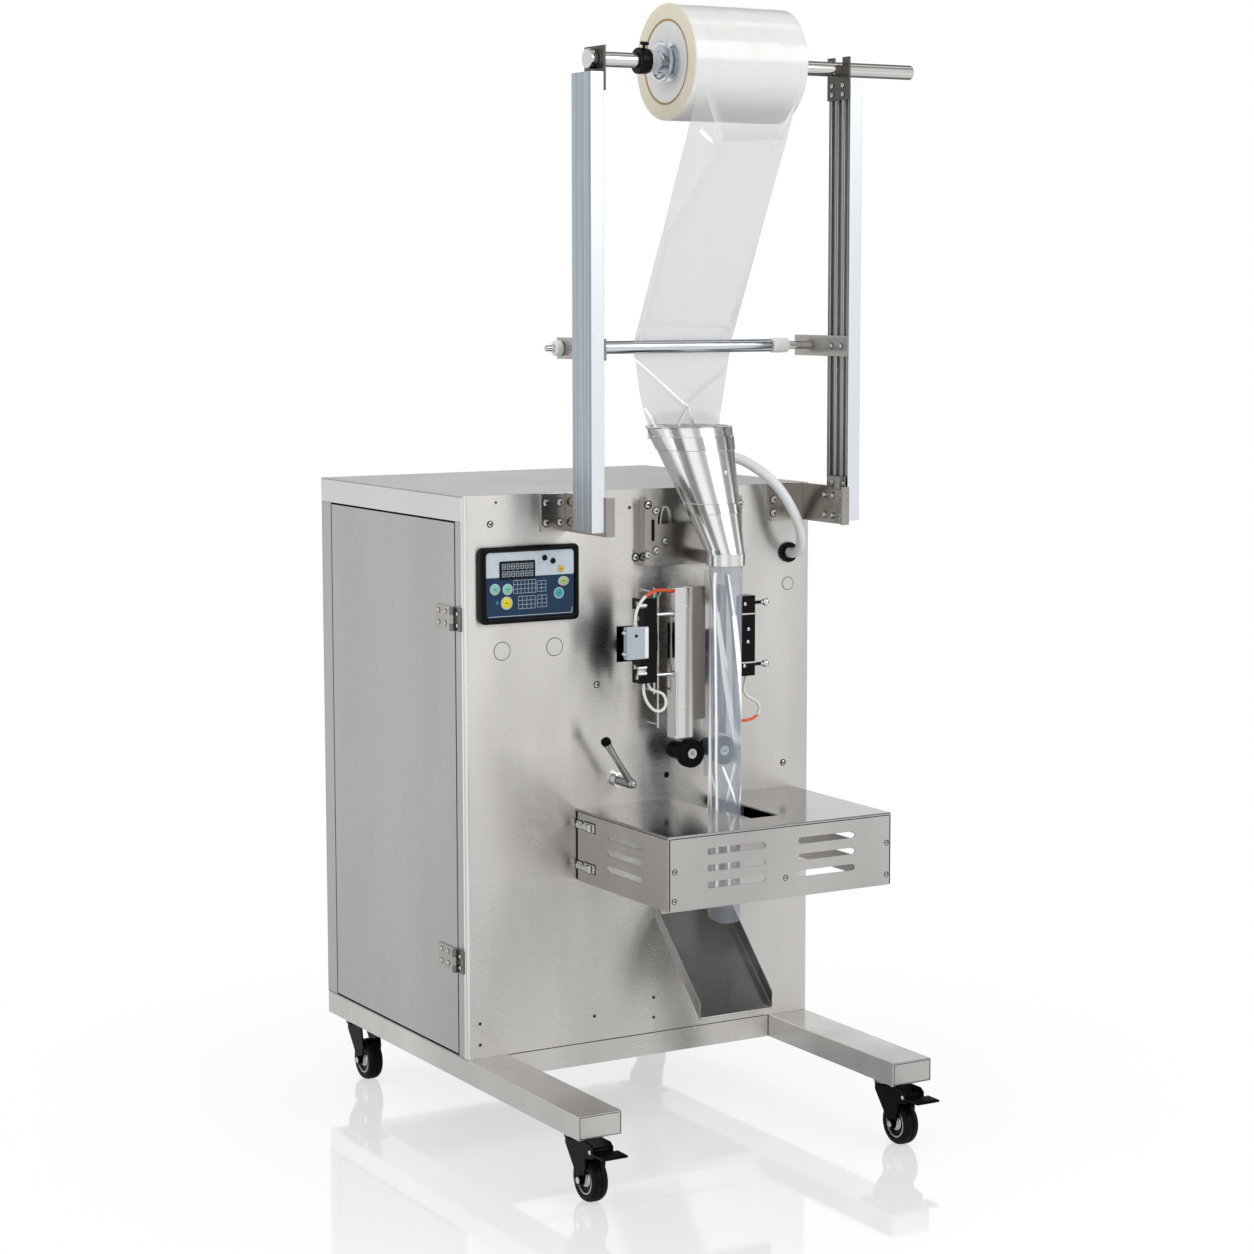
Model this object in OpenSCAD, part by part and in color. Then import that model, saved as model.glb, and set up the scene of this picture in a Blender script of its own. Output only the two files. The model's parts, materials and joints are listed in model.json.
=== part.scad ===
// Small vertical pouch packing machine on casters: a sheet-steel cabinet, a film reel on two
// posts, a forming funnel, a vertical seal, pull rollers, a guard box and a discharge chute.
// Built with x along the front, y towards the back, z up. The front panel is the plane y = 0 and
// the left side of the cabinet is the plane x = 0, until place() centres the machine.

/* [Cabinet] */
// Width of the cabinet
cab_w = 690; // [640:5:760]
// Depth of the cabinet
cab_d = 568; // [520:4:640]
// Height of the cabinet above its base frame
cab_h = 960; // [930:5:1040]
// Thickness of the cabinet's sheet steel
sheet_t = 2; // [1.5:0.5:3]
// Width and depth of the corner posts
post_w = 28; // [24:1:34]
// Width of the rear posts where they show beside the door
rear_post_w = 40; // [34:1:50]
// Height of the band above the side door
header_h = 43; // [36:1:60]

/* [Base frame] */
// Width of a leg tube
leg_w = 80; // [70:2:90]
// Height of a leg tube
leg_h = 40; // [35:1:50]
// How far the legs reach out in front of the panel
leg_front = 385; // [340:5:430]
// Depth of a cross beam
beam_d = 40; // [30:2:60]

/* [Casters] */
// Diameter of a wheel
wheel_d = 75; // [70:1:80]
// Width of a tyre
wheel_w = 28; // [24:1:30]
// Height from the floor to the underside of the legs
caster_h = 112; // [108:1:125]
// Distance from the swivel axis to the wheel's axle
trail = 28; // [20:1:34]
// Distance from a leg's end to the swivel axis
caster_inset = 60; // [54:1:80]
// Length of a caster's top plate
plate_l = 92; // [84:2:104]
// Width of a caster's top plate
plate_w = 62; // [56:2:70]
// Thickness of a caster's plates
plate_t = 3; // [2.5:0.5:4]
// Radius of the swivel head
head_r = 29; // [26:1:31]
// Radius of a wheel axle
axle_r = 4; // [3:0.5:5]
// Reach of the brake pedal in front of the swivel axis
pedal_reach = 108; // [100:1:120]

/* [Door] */
// Gap around the side door
door_gap = 3; // [2:0.5:5]
// Depth of the door's folded edges
door_depth = 18; // [12:1:24]
// Height of a hinge
hinge_h = 40; // [32:2:60]
// Radius of a hinge knuckle
knuckle_r = 5; // [4:0.5:6]
// Height of the lower hinge above the cabinet's underside
hinge_low = 148; // [100:4:240]
// Height of the upper hinge above the cabinet's underside
hinge_high = 733; // [600:4:840]

/* [Reel posts] */
// Width of a post, across the machine
rail_w = 25; // [22:1:30]
// Depth of a post, front to back
rail_d = 65; // [60:1:75]
// Length of a post
rail_l = 752; // [700:4:820]
// How far the posts' feet lie below the cabinet's top
rail_drop = 59; // [50:1:62]
// Place of the left post's inner face across the machine
rail_left = 193; // [180:1:205]
// From the right post's inner side to the cabinet's right side
rail_inset = 11; // [0:1:20]
// Distance of the posts' front faces from the panel
rail_front = 138; // [132:1:150]
// Thickness of the brackets on the posts
bracket_t = 4; // [3:0.5:6]

/* [Film reel] */
// Diameter of the film roll
roll_d = 192; // [150:2:210]
// Width of the film roll
roll_w = 220; // [180:2:230]
// Place of the film's middle across the machine
film_x = 440; // [430:1:450]
// Diameter of the reel shaft
shaft_d = 25; // [20:1:28]
// How far the reel shaft reaches past the right post's inner face
shaft_over = 148; // [60:2:180]
// Height of the reel shaft above the posts' tops
shaft_rise = 22; // [18:1:30]
// Diameter of the core plugs
plug_d = 136; // [100:2:140]
// Diameter of the reel cones' flanges
cone_d = 64; // [50:2:80]

/* [Guide roller] */
// Diameter of the guide roller
guide_d = 22; // [20:1:28]
// Diameter of its fixed axle
guide_axle_d = 14; // [10:1:16]
// How far the guide roller's axis lies behind the panel's plane
guide_y = 10; // [4:1:20]
// Height of the guide roller above the cabinet's top
guide_rise = 243; // [220:1:280]
// From the guide roller's right end to the right post
guide_gap = 66; // [50:1:90]

/* [Forming funnel] */
// Diameter of the funnel's top rim
rim_d = 150; // [130:2:160]
// Diameter of the funnel's outlet
spout_d = 64; // [60:1:72]
// Height of the funnel
funnel_h = 233; // [200:1:240]
// How far the funnel's outlet lies below the cabinet's top
funnel_drop = 127; // [110:1:132]
// Thickness of the funnel's steel
funnel_t = 1.5; // [1:0.5:2.5]
// Distance of the film tube's axis in front of the panel
tube_y = 113; // [108:1:125]
// Place of the film tube's axis across the machine
tube_x = 445; // [440:1:450]

/* [Seal and rollers] */
// Length of the vertical seal bars
seal_l = 260; // [220:2:270]
// Width of a seal bar
seal_w = 36; // [30:1:40]
// Depth of a seal bar
seal_d = 26; // [20:1:28]
// Gap between a seal face and the film's fin at rest
seal_gap = 15; // [13:1:18]
// Gap between the funnel's outlet and the seal bars
seal_space = 39; // [30:1:50]
// How far each seal bar closes
seal_travel = 8; // [4:1:9]
// Diameter of a pull roller
pull_d = 50; // [44:1:54]
// Width of a pull roller
pull_w = 17; // [14:1:24]
// Gap between the seal bars and the pull rollers
pull_gap = 7; // [5:1:20]
// Length of the hand lever's arm
lever_l = 92; // [70:2:110]

/* [Guard and chute] */
// From the guard's right side to the cabinet's right side
guard_inset = 32; // [20:1:60]
// Depth of the guard box
guard_d = 305; // [270:1:320]
// Height of the guard box
guard_h = 125; // [110:1:140]
// Place of the guard's left side across the machine
guard_x = 215; // [205:1:225]
// Gap between the pull rollers and the guard's top
guard_gap = 62; // [52:1:80]
// Width of the slot in the guard's top
top_slot_w = 72; // [72:1:90]
// Length of the slot in the guard's top
top_slot_l = 230; // [200:2:240]
// Width of the discharge chute
chute_w = 150; // [130:2:170]
// How far the chute reaches out from the panel
chute_reach = 152; // [130:2:180]
// Height of the chute's lower edge above the cabinet's underside
chute_foot = 56; // [50:1:80]
// Height of the chute's side walls
chute_wall = 22; // [15:1:30]

/* [Control panel] */
// Width of the control panel
panel_w = 187; // [170:1:200]
// Height of the control panel
panel_h = 130; // [115:1:140]
// How far the control panel stands out
panel_t = 14; // [8:1:20]

/* [Hidden] */
$fn = 64;
// Radial play of a turning fit, and the gap between faces that slide past each other
fit = 0.06;
slide_gap = 0.3;

// Heights of the cabinet's underside and top
base_z = caster_h + leg_h;
top_z = base_z + cab_h;

// Reel posts and shaft
rail_z = top_z - rail_drop;
rail_right = cab_w - rail_inset;
rail_top = rail_z + rail_l;
rail_y = -rail_front;
shaft_r = shaft_d / 2;
shaft_y = rail_y + rail_d / 2;
shaft_z = rail_top + shaft_rise;
shaft_tail = 14;
shaft_x0 = rail_left - shaft_tail;
shaft_x1 = rail_right + shaft_over;
roll_r = roll_d / 2;
roll_x = film_x - roll_w / 2;

// Guide roller
guide_start = 22;
guide_z = top_z + guide_rise;
guide_r = guide_d / 2;
guide_x = rail_left + guide_start;
guide_l = rail_right - guide_gap - guide_x;

// Funnel and film
funnel_z = top_z - funnel_drop;
rim_y = 0;
film_t = 1;
tube_play = 0.5;
tube_r = spout_d / 2 - funnel_t - tube_play;
seal_z = funnel_z - seal_space - seal_l;
seal_y = -75;
fin_y = -41;
pull_z = seal_z - pull_gap - pull_d / 2;
pull_y = -60;
pull_play = 8;
pull_offset = pull_d / 2 + pull_play;

// Guard and chute
guard_top_z = pull_z - pull_d / 2 - guard_gap;
guard_z = guard_top_z - guard_h;
guard_w = cab_w - guard_x - guard_inset;
chute_x = tube_x - chute_w / 2;
chute_z = base_z + chute_foot;

// The pin of the side door's hinges
hinge_x = -knuckle_r - 0.5;
hinge_y = sheet_t + post_w + door_gap / 2;

// Outer limits, for the point under the middle of the machine
min_x = hinge_x - knuckle_r;
max_x = shaft_x1;
min_y = -leg_front + caster_inset - pedal_reach;
max_y = cab_d;

// Puts the point on the floor under the middle of the machine at the origin
module place() {
    translate([-(min_x + max_x) / 2, -(min_y + max_y) / 2, 0]) children();
}

// A box given by its two opposite corners
module span(a, b) {
    translate(a) cube(b - a);
}

// A cylinder along x, from x0 to x1
module rod_x(x0, x1, y, z, r) {
    translate([x0, y, z]) rotate([0, 90, 0]) cylinder(h = x1 - x0, r = r);
}

// A cylinder along y, from y0 to y1
module rod_y(x, y0, y1, z, r) {
    translate([x, y0, z]) rotate([-90, 0, 0]) cylinder(h = y1 - y0, r = r);
}

module base_legs() {
    color("silver") place()
        for (x = [0, cab_w - leg_w])
            span([x, -leg_front, caster_h], [x + leg_w, cab_d, base_z]);
}

module cross_beams() {
    color("silver") place()
        for (y = [0, cab_d - beam_d])
            span([leg_w, y, caster_h], [cab_w - leg_w, y + beam_d, base_z]);
}

module floor_plate() {
    color("silver") place()
        span([0, sheet_t, base_z], [cab_w, cab_d - sheet_t, base_z + sheet_t]);
}

// Openings in the front panel for the arms of the seal jaws
arm_w = 20;
arm_h = 30;
arm_play = 5;
slot_w = arm_w + 2 * (seal_travel + arm_play);
slot_h = 62;
slot_rise = 129;
slot_z = seal_z + slot_rise;
slot_left_reach = 150;
slot_right_reach = 50;
slot_left = tube_x - slot_left_reach;
slot_right = tube_x + slot_right_reach;
arm_foot = slot_z + (slot_h - arm_h) / 2;

module front_panel() {
    color("silver") place() difference() {
        span([0, 0, base_z], [cab_w, sheet_t, top_z]);
        for (x = [slot_left, slot_right])
            span([x, -1, slot_z], [x + slot_w, sheet_t + 1, slot_z + slot_h]);
        rod_y(grommet_x, -1, sheet_t + 1, grommet_z, grommet_r);
    }
}

module back_panel() {
    color("silver") place()
        span([0, cab_d - sheet_t, base_z], [cab_w, cab_d, top_z]);
}

module top_cover() {
    color("silver") place()
        span([0, sheet_t, top_z - sheet_t], [cab_w, cab_d - sheet_t, top_z]);
}

// Heights of the side openings
side_z0 = base_z + sheet_t;
side_z1 = top_z - header_h;

module corner_posts() {
    color("gainsboro") place()
        for (x = [0, cab_w - post_w]) {
            span([x, sheet_t, side_z0], [x + post_w, sheet_t + post_w, side_z1]);
            span([x, cab_d - rear_post_w, side_z0], [x + post_w, cab_d - sheet_t, side_z1]);
        }
}

module header_rails() {
    color("gainsboro") place()
        for (x = [0, cab_w - post_w])
            span([x, sheet_t, side_z1], [x + post_w, cab_d - sheet_t, top_z - sheet_t]);
}

module right_panel() {
    color("silver") place()
        span([cab_w - sheet_t, sheet_t + post_w, side_z0], [cab_w, cab_d - rear_post_w, side_z1]);
}

// The door's edges
door_y0 = sheet_t + post_w + door_gap;
door_y1 = cab_d - rear_post_w - door_gap;
door_z0 = side_z0 + door_gap;
door_z1 = side_z1 - door_gap;

module side_door() {
    color("silver") place() difference() {
        span([0, door_y0, door_z0], [door_depth, door_y1, door_z1]);
        span([sheet_t, door_y0 + sheet_t, door_z0 + sheet_t],
             [door_depth + 1, door_y1 - sheet_t, door_z1 - sheet_t]);
    }
}

// One leaf with its knuckles. side is -1 for the leaf on the post and 1 for the leaf on the door
leaf_t = 3;
pin_r = 2.5;
frame_leaf_edge = 6;
door_leaf_l = 68;
module hinge_leaf(side, reach, z, z0, z1) {
    far = hinge_y + side * reach;
    near = hinge_y + side * (knuckle_r + 1);
    span([-leaf_t, min(far, near), z], [0, max(far, near), z + hinge_h]);
    for (i = [0 : len(z0) - 1]) {
        span([-leaf_t, min(hinge_y, near), z + z0[i]], [-leaf_t / 2, max(hinge_y, near), z + z1[i]]);
        translate([hinge_x, hinge_y, z + z0[i]]) cylinder(h = z1[i] - z0[i], r = knuckle_r);
    }
}

// Where the door's knuckle starts and ends along a hinge
mid_z0 = hinge_h * 0.3;
mid_z1 = hinge_h * 0.7;

module hinge_frame_leaves() {
    color("darkgray") place()
        for (z = [base_z + hinge_low, base_z + hinge_high]) {
            hinge_leaf(-1, hinge_y - sheet_t - frame_leaf_edge, z, [0, mid_z1], [mid_z0, hinge_h]);
            translate([hinge_x, hinge_y, z]) cylinder(h = hinge_h, r = pin_r);
        }
}

module hinge_door_leaves() {
    color("darkgray") place()
        for (z = [base_z + hinge_low, base_z + hinge_high])
            difference() {
                hinge_leaf(1, door_leaf_l, z, [mid_z0 + slide_gap], [mid_z1 - slide_gap]);
                translate([hinge_x, hinge_y, z - 1]) cylinder(h = hinge_h + 2, r = pin_r + fit);
            }
}

// Swivel axes of the casters, as [x, y]
caster_left = leg_w / 2;
caster_right = cab_w - leg_w / 2;
caster_front = -leg_front + caster_inset;
caster_rear = cab_d - caster_inset;

// Heights inside a caster, from its top plate down
race_t = 5;
king_r = 6;
fork_top = caster_h - plate_t - race_t - slide_gap;
fork_z = fork_top - plate_t;
nut_t = 4;

module caster_plates() {
    color("dimgray") place()
        for (x = [caster_left, caster_right], y = [caster_front, caster_rear])
            translate([x, y, 0]) {
                span([-plate_w / 2, -plate_l / 2, caster_h - plate_t],
                     [plate_w / 2, plate_l / 2, caster_h]);
                translate([0, 0, caster_h - plate_t - race_t]) cylinder(h = race_t, r = head_r);
                translate([0, 0, fork_z - slide_gap - nut_t])
                    cylinder(h = caster_h - fork_z, r = king_r);
                translate([0, 0, fork_z - slide_gap - nut_t]) cylinder(h = nut_t, r = king_r + 3);
            }
}

// A fork with its axle, for a swivel axis at the origin of x and y
fork_gap = wheel_w / 2 + 2;
boss_r = 10;
axle_z = wheel_d / 2;
nut_end = 5;
nut_wall = 3.5;
cheek_back = 14;
cheek_edge = 6;
cheek_rise = 26;
cheek_lean = 8;
brake_y = -60;
brake_drop = 21;
brake_z = caster_h - brake_drop;
brake_r = 3;
brake_edge = 9;

module fork(x, y, braked) {
    color("dimgray") place() translate([x, y, 0]) {
        difference() {
            union() {
                translate([0, 0, fork_z]) cylinder(h = plate_t, r = head_r);
                span([-fork_gap - plate_t, -head_r, fork_z],
                     [fork_gap + plate_t, head_r * 0.75, fork_top]);
            }
            translate([0, 0, fork_z - 1]) cylinder(h = plate_t + 2, r = king_r + fit);
        }
        for (s = [-fork_gap - plate_t, fork_gap])
            translate([s, 0, 0]) rotate([90, 0, 90]) linear_extrude(height = plate_t) {
                polygon([[head_r * 0.75, fork_top], [head_r * 0.75, fork_z - cheek_back],
                         [-trail + boss_r, axle_z], [-trail - boss_r, axle_z],
                         [-trail - boss_r - cheek_edge, axle_z + cheek_rise],
                         [-head_r - cheek_lean, fork_top]]);
                translate([-trail, axle_z]) circle(r = boss_r);
                if (braked)
                    polygon([[-trail, fork_top], [-trail, fork_z - 2 * cheek_back],
                             [brake_y - brake_edge, brake_z - brake_edge],
                             [brake_y - brake_edge, brake_z + brake_edge - 2],
                             [brake_y, fork_top]]);
            }
        rod_x(-fork_gap - plate_t - nut_end, fork_gap + plate_t + nut_end, -trail, axle_z, axle_r);
        for (s = [-fork_gap - plate_t - nut_end, fork_gap + plate_t])
            rod_x(s, s + nut_end, -trail, axle_z, axle_r + nut_wall);
        if (braked)
            rod_x(-fork_gap - plate_t, fork_gap + plate_t, brake_y, brake_z, brake_r);
    }
}

// A wheel with its hub, turned about the axle
module wheel(x, y) {
    half = wheel_w / 2;
    r = wheel_d / 2;
    color("black") place() translate([x, y - trail, axle_z]) rotate([0, 90, 0])
        rotate_extrude() polygon([
            [axle_r + fit, -half - 1], [axle_r + 8, -half - 1], [axle_r + 9, -half + 4],
            [r * 0.62, -half + 4], [r * 0.66, -half], [r - 7, -half], [r - 2, -half + 4],
            [r, -half + 9], [r, half - 9], [r - 2, half - 4], [r - 7, half],
            [r * 0.66, half], [r * 0.62, half - 4], [axle_r + 9, half - 4],
            [axle_r + 8, half + 1], [axle_r + fit, half + 1]
        ]);
}

// A brake pedal that rocks on the fork's front pin
pedal_w = 46;
pedal_t = 4;
pedal_neck = 30;
pedal_root = 16;
module brake_pedal(x, y) {
    inner = fork_gap - 1.5;
    color("black") place() translate([x, y, 0]) difference() {
        union() {
            rod_x(-inner, inner, brake_y, brake_z, 2 * brake_r);
            span([-inner, -pedal_reach + pedal_neck, brake_z - pedal_t / 2],
                 [inner, brake_y, brake_z + pedal_t / 2]);
            span([-pedal_w / 2, -pedal_reach, brake_z - pedal_t / 2],
                 [pedal_w / 2, brake_y - pedal_root, brake_z + pedal_t / 2]);
        }
        rod_x(-inner - 1, inner + 1, brake_y, brake_z, brake_r + fit);
    }
}

// One post's outline, with three slots in its inner side
groove_pitch = 20;
groove_w = 8;
groove_d = 8;
module rail_outline() {
    difference() {
        square([rail_w, rail_d]);
        for (i = [-1 : 1])
            translate([-1, rail_d / 2 + i * groove_pitch - groove_w / 2])
                square([groove_d + 1, groove_w]);
    }
}

module reel_posts() {
    color("lightsteelblue") place() {
        translate([rail_right, rail_y, rail_z]) linear_extrude(height = rail_l) rail_outline();
        translate([rail_left, rail_y, rail_z]) mirror([1, 0, 0])
            linear_extrude(height = rail_l) rail_outline();
    }
}

// The arms that carry the posts, bolted to the front panel
bracket_h = 66;
bracket_z = top_z - bracket_h;
bracket_y = rail_y - 2;
flange_left = 47;
flange_right = 76;
lip_w = 12;
module post_arms() {
    color("gray") place() {
        span([rail_left, bracket_y, bracket_z], [rail_left + bracket_t, 0, top_z]);
        span([rail_left - flange_left, -bracket_t, bracket_z], [rail_left + bracket_t, 0, top_z]);
        span([rail_left, bracket_y - bracket_t, bracket_z],
             [rail_left + bracket_t + lip_w, bracket_y, top_z]);
        span([rail_right - bracket_t, bracket_y, bracket_z], [rail_right, 0, top_z]);
        span([rail_right - flange_right, -bracket_t, bracket_z], [rail_right, 0, top_z]);
        span([rail_right - bracket_t - lip_w, bracket_y - bracket_t, bracket_z],
             [rail_right, bracket_y, top_z]);
    }
}

// The plates that hold the shaft: a closed bore on the left, an open notch on the right
seat_h = 30;
ear_h = 8;
module shaft_brackets() {
    ear_top = shaft_z + shaft_r + ear_h;
    color("dimgray") place() {
        difference() {
            span([rail_left, rail_y, rail_top - seat_h],
                 [rail_left + bracket_t, rail_y + rail_d, ear_top]);
            rod_x(rail_left - 1, rail_left + bracket_t + 1, shaft_y, shaft_z, shaft_r + fit);
        }
        difference() {
            span([rail_right - bracket_t, rail_y, rail_top - seat_h],
                 [rail_right, rail_y + rail_d, ear_top]);
            rod_x(rail_right - bracket_t - 1, rail_right + 1, shaft_y, shaft_z, shaft_r + fit);
            span([rail_right - bracket_t - 1, shaft_y - shaft_r - fit, shaft_z],
                 [rail_right + 1, shaft_y + shaft_r + fit, ear_top + 1]);
        }
    }
}

nut_l = 8;
ring_lip = 4;
module reel_shaft() {
    color("silver") place() {
        rod_x(shaft_x0, shaft_x1, shaft_y, shaft_z, shaft_r);
        rod_x(rail_left + bracket_t, rail_left + bracket_t + nut_l, shaft_y, shaft_z, shaft_r + ring_lip);
        rod_x(shaft_x0, rail_left, shaft_y, shaft_z, shaft_r + ring_lip);
    }
}

// Rings that stop the reel on the shaft
collar_w = 18;
collar_wall = 9;
collar_gap = 2;
cone_left = 46;
cone_right = 20;
module shaft_collars() {
    color("black") place()
        for (x = [roll_x + plug_dish - cone_left - collar_gap - collar_w,
                  roll_x + roll_w - plug_dish + cone_right + collar_gap])
            difference() {
                rod_x(x, x + collar_w, shaft_y, shaft_z, shaft_r + collar_wall);
                rod_x(x - 1, x + collar_w + 1, shaft_y, shaft_z, shaft_r);
            }
}

// Cones with flanges, which press on the core plugs
module reel_cone(l) {
    rotate([0, 90, 0]) rotate_extrude()
        polygon([[shaft_r + fit, 0], [shaft_r + 8, 0], [shaft_r + 6, 10], [shaft_r + 6, l - 6],
                 [cone_d / 2, l - 4], [cone_d / 2, l], [shaft_r + fit, l]]);
}

module reel_cones() {
    color("gainsboro") place() {
        translate([roll_x + plug_dish - cone_left, shaft_y, shaft_z]) reel_cone(cone_left);
        translate([roll_x + roll_w - plug_dish + cone_right, shaft_y, shaft_z])
            mirror([1, 0, 0]) reel_cone(cone_right);
    }
}

// Plugs in the roll's ends, dished inwards
plug_dish = 10;
plug_l = 30;
module core_plug() {
    rotate([0, 90, 0]) rotate_extrude()
        polygon([[shaft_r + fit, plug_dish], [plug_d / 4, plug_dish], [plug_d / 2 - 4, 1],
                 [plug_d / 2, 1], [plug_d / 2, plug_l], [shaft_r + fit, plug_l]]);
}

module core_plugs() {
    color("white") place() {
        translate([roll_x, shaft_y, shaft_z]) core_plug();
        translate([roll_x + roll_w, shaft_y, shaft_z]) mirror([1, 0, 0]) core_plug();
    }
}

module film_roll() {
    color("whitesmoke") place() difference() {
        rod_x(roll_x, roll_x + roll_w, shaft_y, shaft_z, roll_r);
        rod_x(roll_x - 1, roll_x + roll_w + 1, shaft_y, shaft_z, plug_d / 2);
    }
}

// The film from the front of the roll to the back of the guide roller: a line that touches both
// circles from opposite sides
web_gap = 0.5;
web_dy = guide_y - shaft_y;
web_dz = guide_z - shaft_z;
web_span = sqrt(web_dy * web_dy + web_dz * web_dz);
web_sum = roll_r + guide_r + 2 * web_gap + film_t;
web_turn = atan2(web_dz, web_dy) + asin(web_sum / web_span);
web_half = 100;
web_low = 50;
web_dip = 30;
web_flat = 30;

module film_web() {
    leave = roll_r + web_gap + film_t / 2;
    meet = guide_r + web_gap + film_t / 2;
    nx = sin(web_turn);
    nz = -cos(web_turn);
    y0 = shaft_y + leave * nx;
    z0 = shaft_z + leave * nz;
    past = meet * (1 + nx) / -nz;
    y1 = guide_y - meet * nx - past * nz;
    z1 = guide_z - meet * nz + past * nx;
    low_z = funnel_z + funnel_h - web_dip;
    drop_y = guide_y + meet;
    color("white", 0.6) place() {
        translate([film_x, 0, 0]) rotate([90, 0, 90]) translate([0, 0, -web_half])
            linear_extrude(height = 2 * web_half)
                polygon([[y0 + film_t / 2 * nx, z0 + film_t / 2 * nz],
                         [y1 + film_t / 2 * nx, z1 + film_t / 2 * nz],
                         [y1 - film_t / 2 * nx, z1 - film_t / 2 * nz],
                         [y0 - film_t / 2 * nx, z0 - film_t / 2 * nz]]);
        translate([film_x, drop_y + film_t / 2, 0]) rotate([90, 0, 0])
            linear_extrude(height = film_t)
                polygon([[-web_half, z1 + film_t / 2], [web_half, z1 + film_t / 2],
                         [web_half, guide_z - web_flat], [web_low, low_z], [-web_low, low_z],
                         [-web_half, guide_z - web_flat]]);
    }
}

module guide_roller() {
    color("silver") place() difference() {
        rod_x(guide_x, guide_x + guide_l, guide_y, guide_z, guide_r);
        rod_x(guide_x - 1, guide_x + guide_l + 1, guide_y, guide_z, guide_axle_d / 2 + fit);
    }
}

guide_collar = 14;
guide_nut = 34;
axle_tail = 16;
collar_lip = 2;
module guide_axle() {
    nut_x = guide_x + guide_l + 2;
    color("whitesmoke") place() {
        rod_x(rail_left - axle_tail, rail_right, guide_y, guide_z, guide_axle_d / 2);
        rod_x(rail_left - guide_collar, rail_left, guide_y, guide_z, guide_r + collar_lip);
        rod_x(nut_x, nut_x + guide_nut, guide_y, guide_z, guide_r + collar_lip);
    }
}

plate_h = 36;
plate_edge = 14;
module guide_brackets() {
    color("gray") place()
        for (x = [rail_left, rail_right - bracket_t])
            difference() {
                span([x, rail_y, guide_z - plate_h / 2],
                     [x + bracket_t, guide_y + plate_edge, guide_z + plate_h / 2]);
                rod_x(x - 1, x + bracket_t + 1, guide_y, guide_z, guide_axle_d / 2 + fit);
            }
}

// The funnel leans: its rim is above the panel's plane and its outlet ring over the film tube
ring_h = 20;
sides = 48;
module disc(h, r) {
    linear_extrude(height = h)
        polygon([for (k = [0 : sides - 1]) r * [cos(360 * k / sides), sin(360 * k / sides)]]);
}

module funnel_shape(cut) {
    extra = cut > 0 ? 1 : 0;
    hull() {
        translate([film_x, rim_y, funnel_z + funnel_h - 1 + extra]) disc(1 + extra, rim_d / 2 - cut);
        translate([tube_x, -tube_y, funnel_z + ring_h - 1]) disc(1, spout_d / 2 - cut);
    }
    translate([tube_x, -tube_y, funnel_z - extra]) disc(ring_h + extra - 0.5, spout_d / 2 - cut);
}

module forming_funnel() {
    color("silver") place() difference() {
        funnel_shape(0);
        funnel_shape(funnel_t);
    }
}

// A folded bridge that stands off the panel, with a leg forward to the funnel's outlet ring
hold_reach = 20;
hold_t = 3;
hold_w = 26;
hold_left = 105;
hold_right = 93;
hold_leg = 15;
hold_foot = 5;
hold_h = 72;
hold_wing_h = 115;
module funnel_bracket() {
    x0 = tube_x - hold_left;
    x1 = tube_x + hold_right;
    leg_x = tube_x + hold_leg;
    foot = funnel_z - hold_foot;
    back = hold_t - hold_reach;
    color("silver") place() difference() {
        union() {
            span([x0, -hold_reach, foot], [x1, back, foot + hold_h]);
            for (x = [x0, x1 - hold_w])
                span([x, -hold_reach, foot], [x + hold_w, back, foot + hold_wing_h]);
            for (x = [x0, x1 - hold_t])
                span([x, -hold_reach, foot], [x + hold_t, 0, foot + hold_wing_h]);
            span([leg_x, -tube_y, foot], [leg_x + hold_t, back, funnel_z + ring_h - 2]);
        }
        translate([tube_x, -tube_y, foot - 1]) cylinder(h = ring_h + hold_foot + 1, r = spout_d / 2);
    }
}

tube_gap = 7;
tube_low = chute_z + chute_reach + tube_gap;
fin_tail = 20;
fin_top = 12;
fin_low = pull_z - pull_d / 2 - fin_tail;
module film_tube() {
    color("white", 0.5) place() {
        translate([tube_x, -tube_y, tube_low]) cylinder(h = funnel_z + ring_h - 2 - tube_low, r = tube_r);
        span([tube_x - film_t, -tube_y + tube_r - 1, fin_low], [tube_x + film_t, fin_y, funnel_z - fin_top]);
    }
}

// The vertical seal: a heated bar and a face on each side of the fin
face_w = 27;
face_foot = 30;
face_y = seal_y + 3;
left_face_x = tube_x - seal_gap;
left_bar_x = left_face_x - face_w - seal_w;
module left_seal_bar() {
    color("silver") place()
        span([left_bar_x, seal_y, seal_z], [left_bar_x + seal_w, seal_y + seal_d, seal_z + seal_l]);
}

module left_seal_face() {
    color("saddlebrown") place()
        span([left_face_x - face_w, face_y, seal_z + face_foot],
             [left_face_x, seal_y + seal_d, seal_z + seal_l]);
}

carrier_w = 26;
carrier_h = 145;
carrier_rise = 102;
carrier_z = seal_z + carrier_rise;
carrier_y = seal_y - 12;
rod_l = 43;
rod_r = 3;
rod_inset = 10;
rod_pitch = 104;
flange_w = 8;
flange_foot = 43;
flange_top = 19;
arm_end = 12;
left_carrier_x = left_bar_x - rod_l - carrier_w;

// A jaw's arm, from its carrier through the panel's slot to the bar behind
module jaw_arm(slot_x, shift) {
    x = slot_x + (slot_w - arm_w) / 2 + shift;
    span([x, seal_y + 8, arm_foot], [x + arm_w, arm_end, arm_foot + arm_h]);
}

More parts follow.
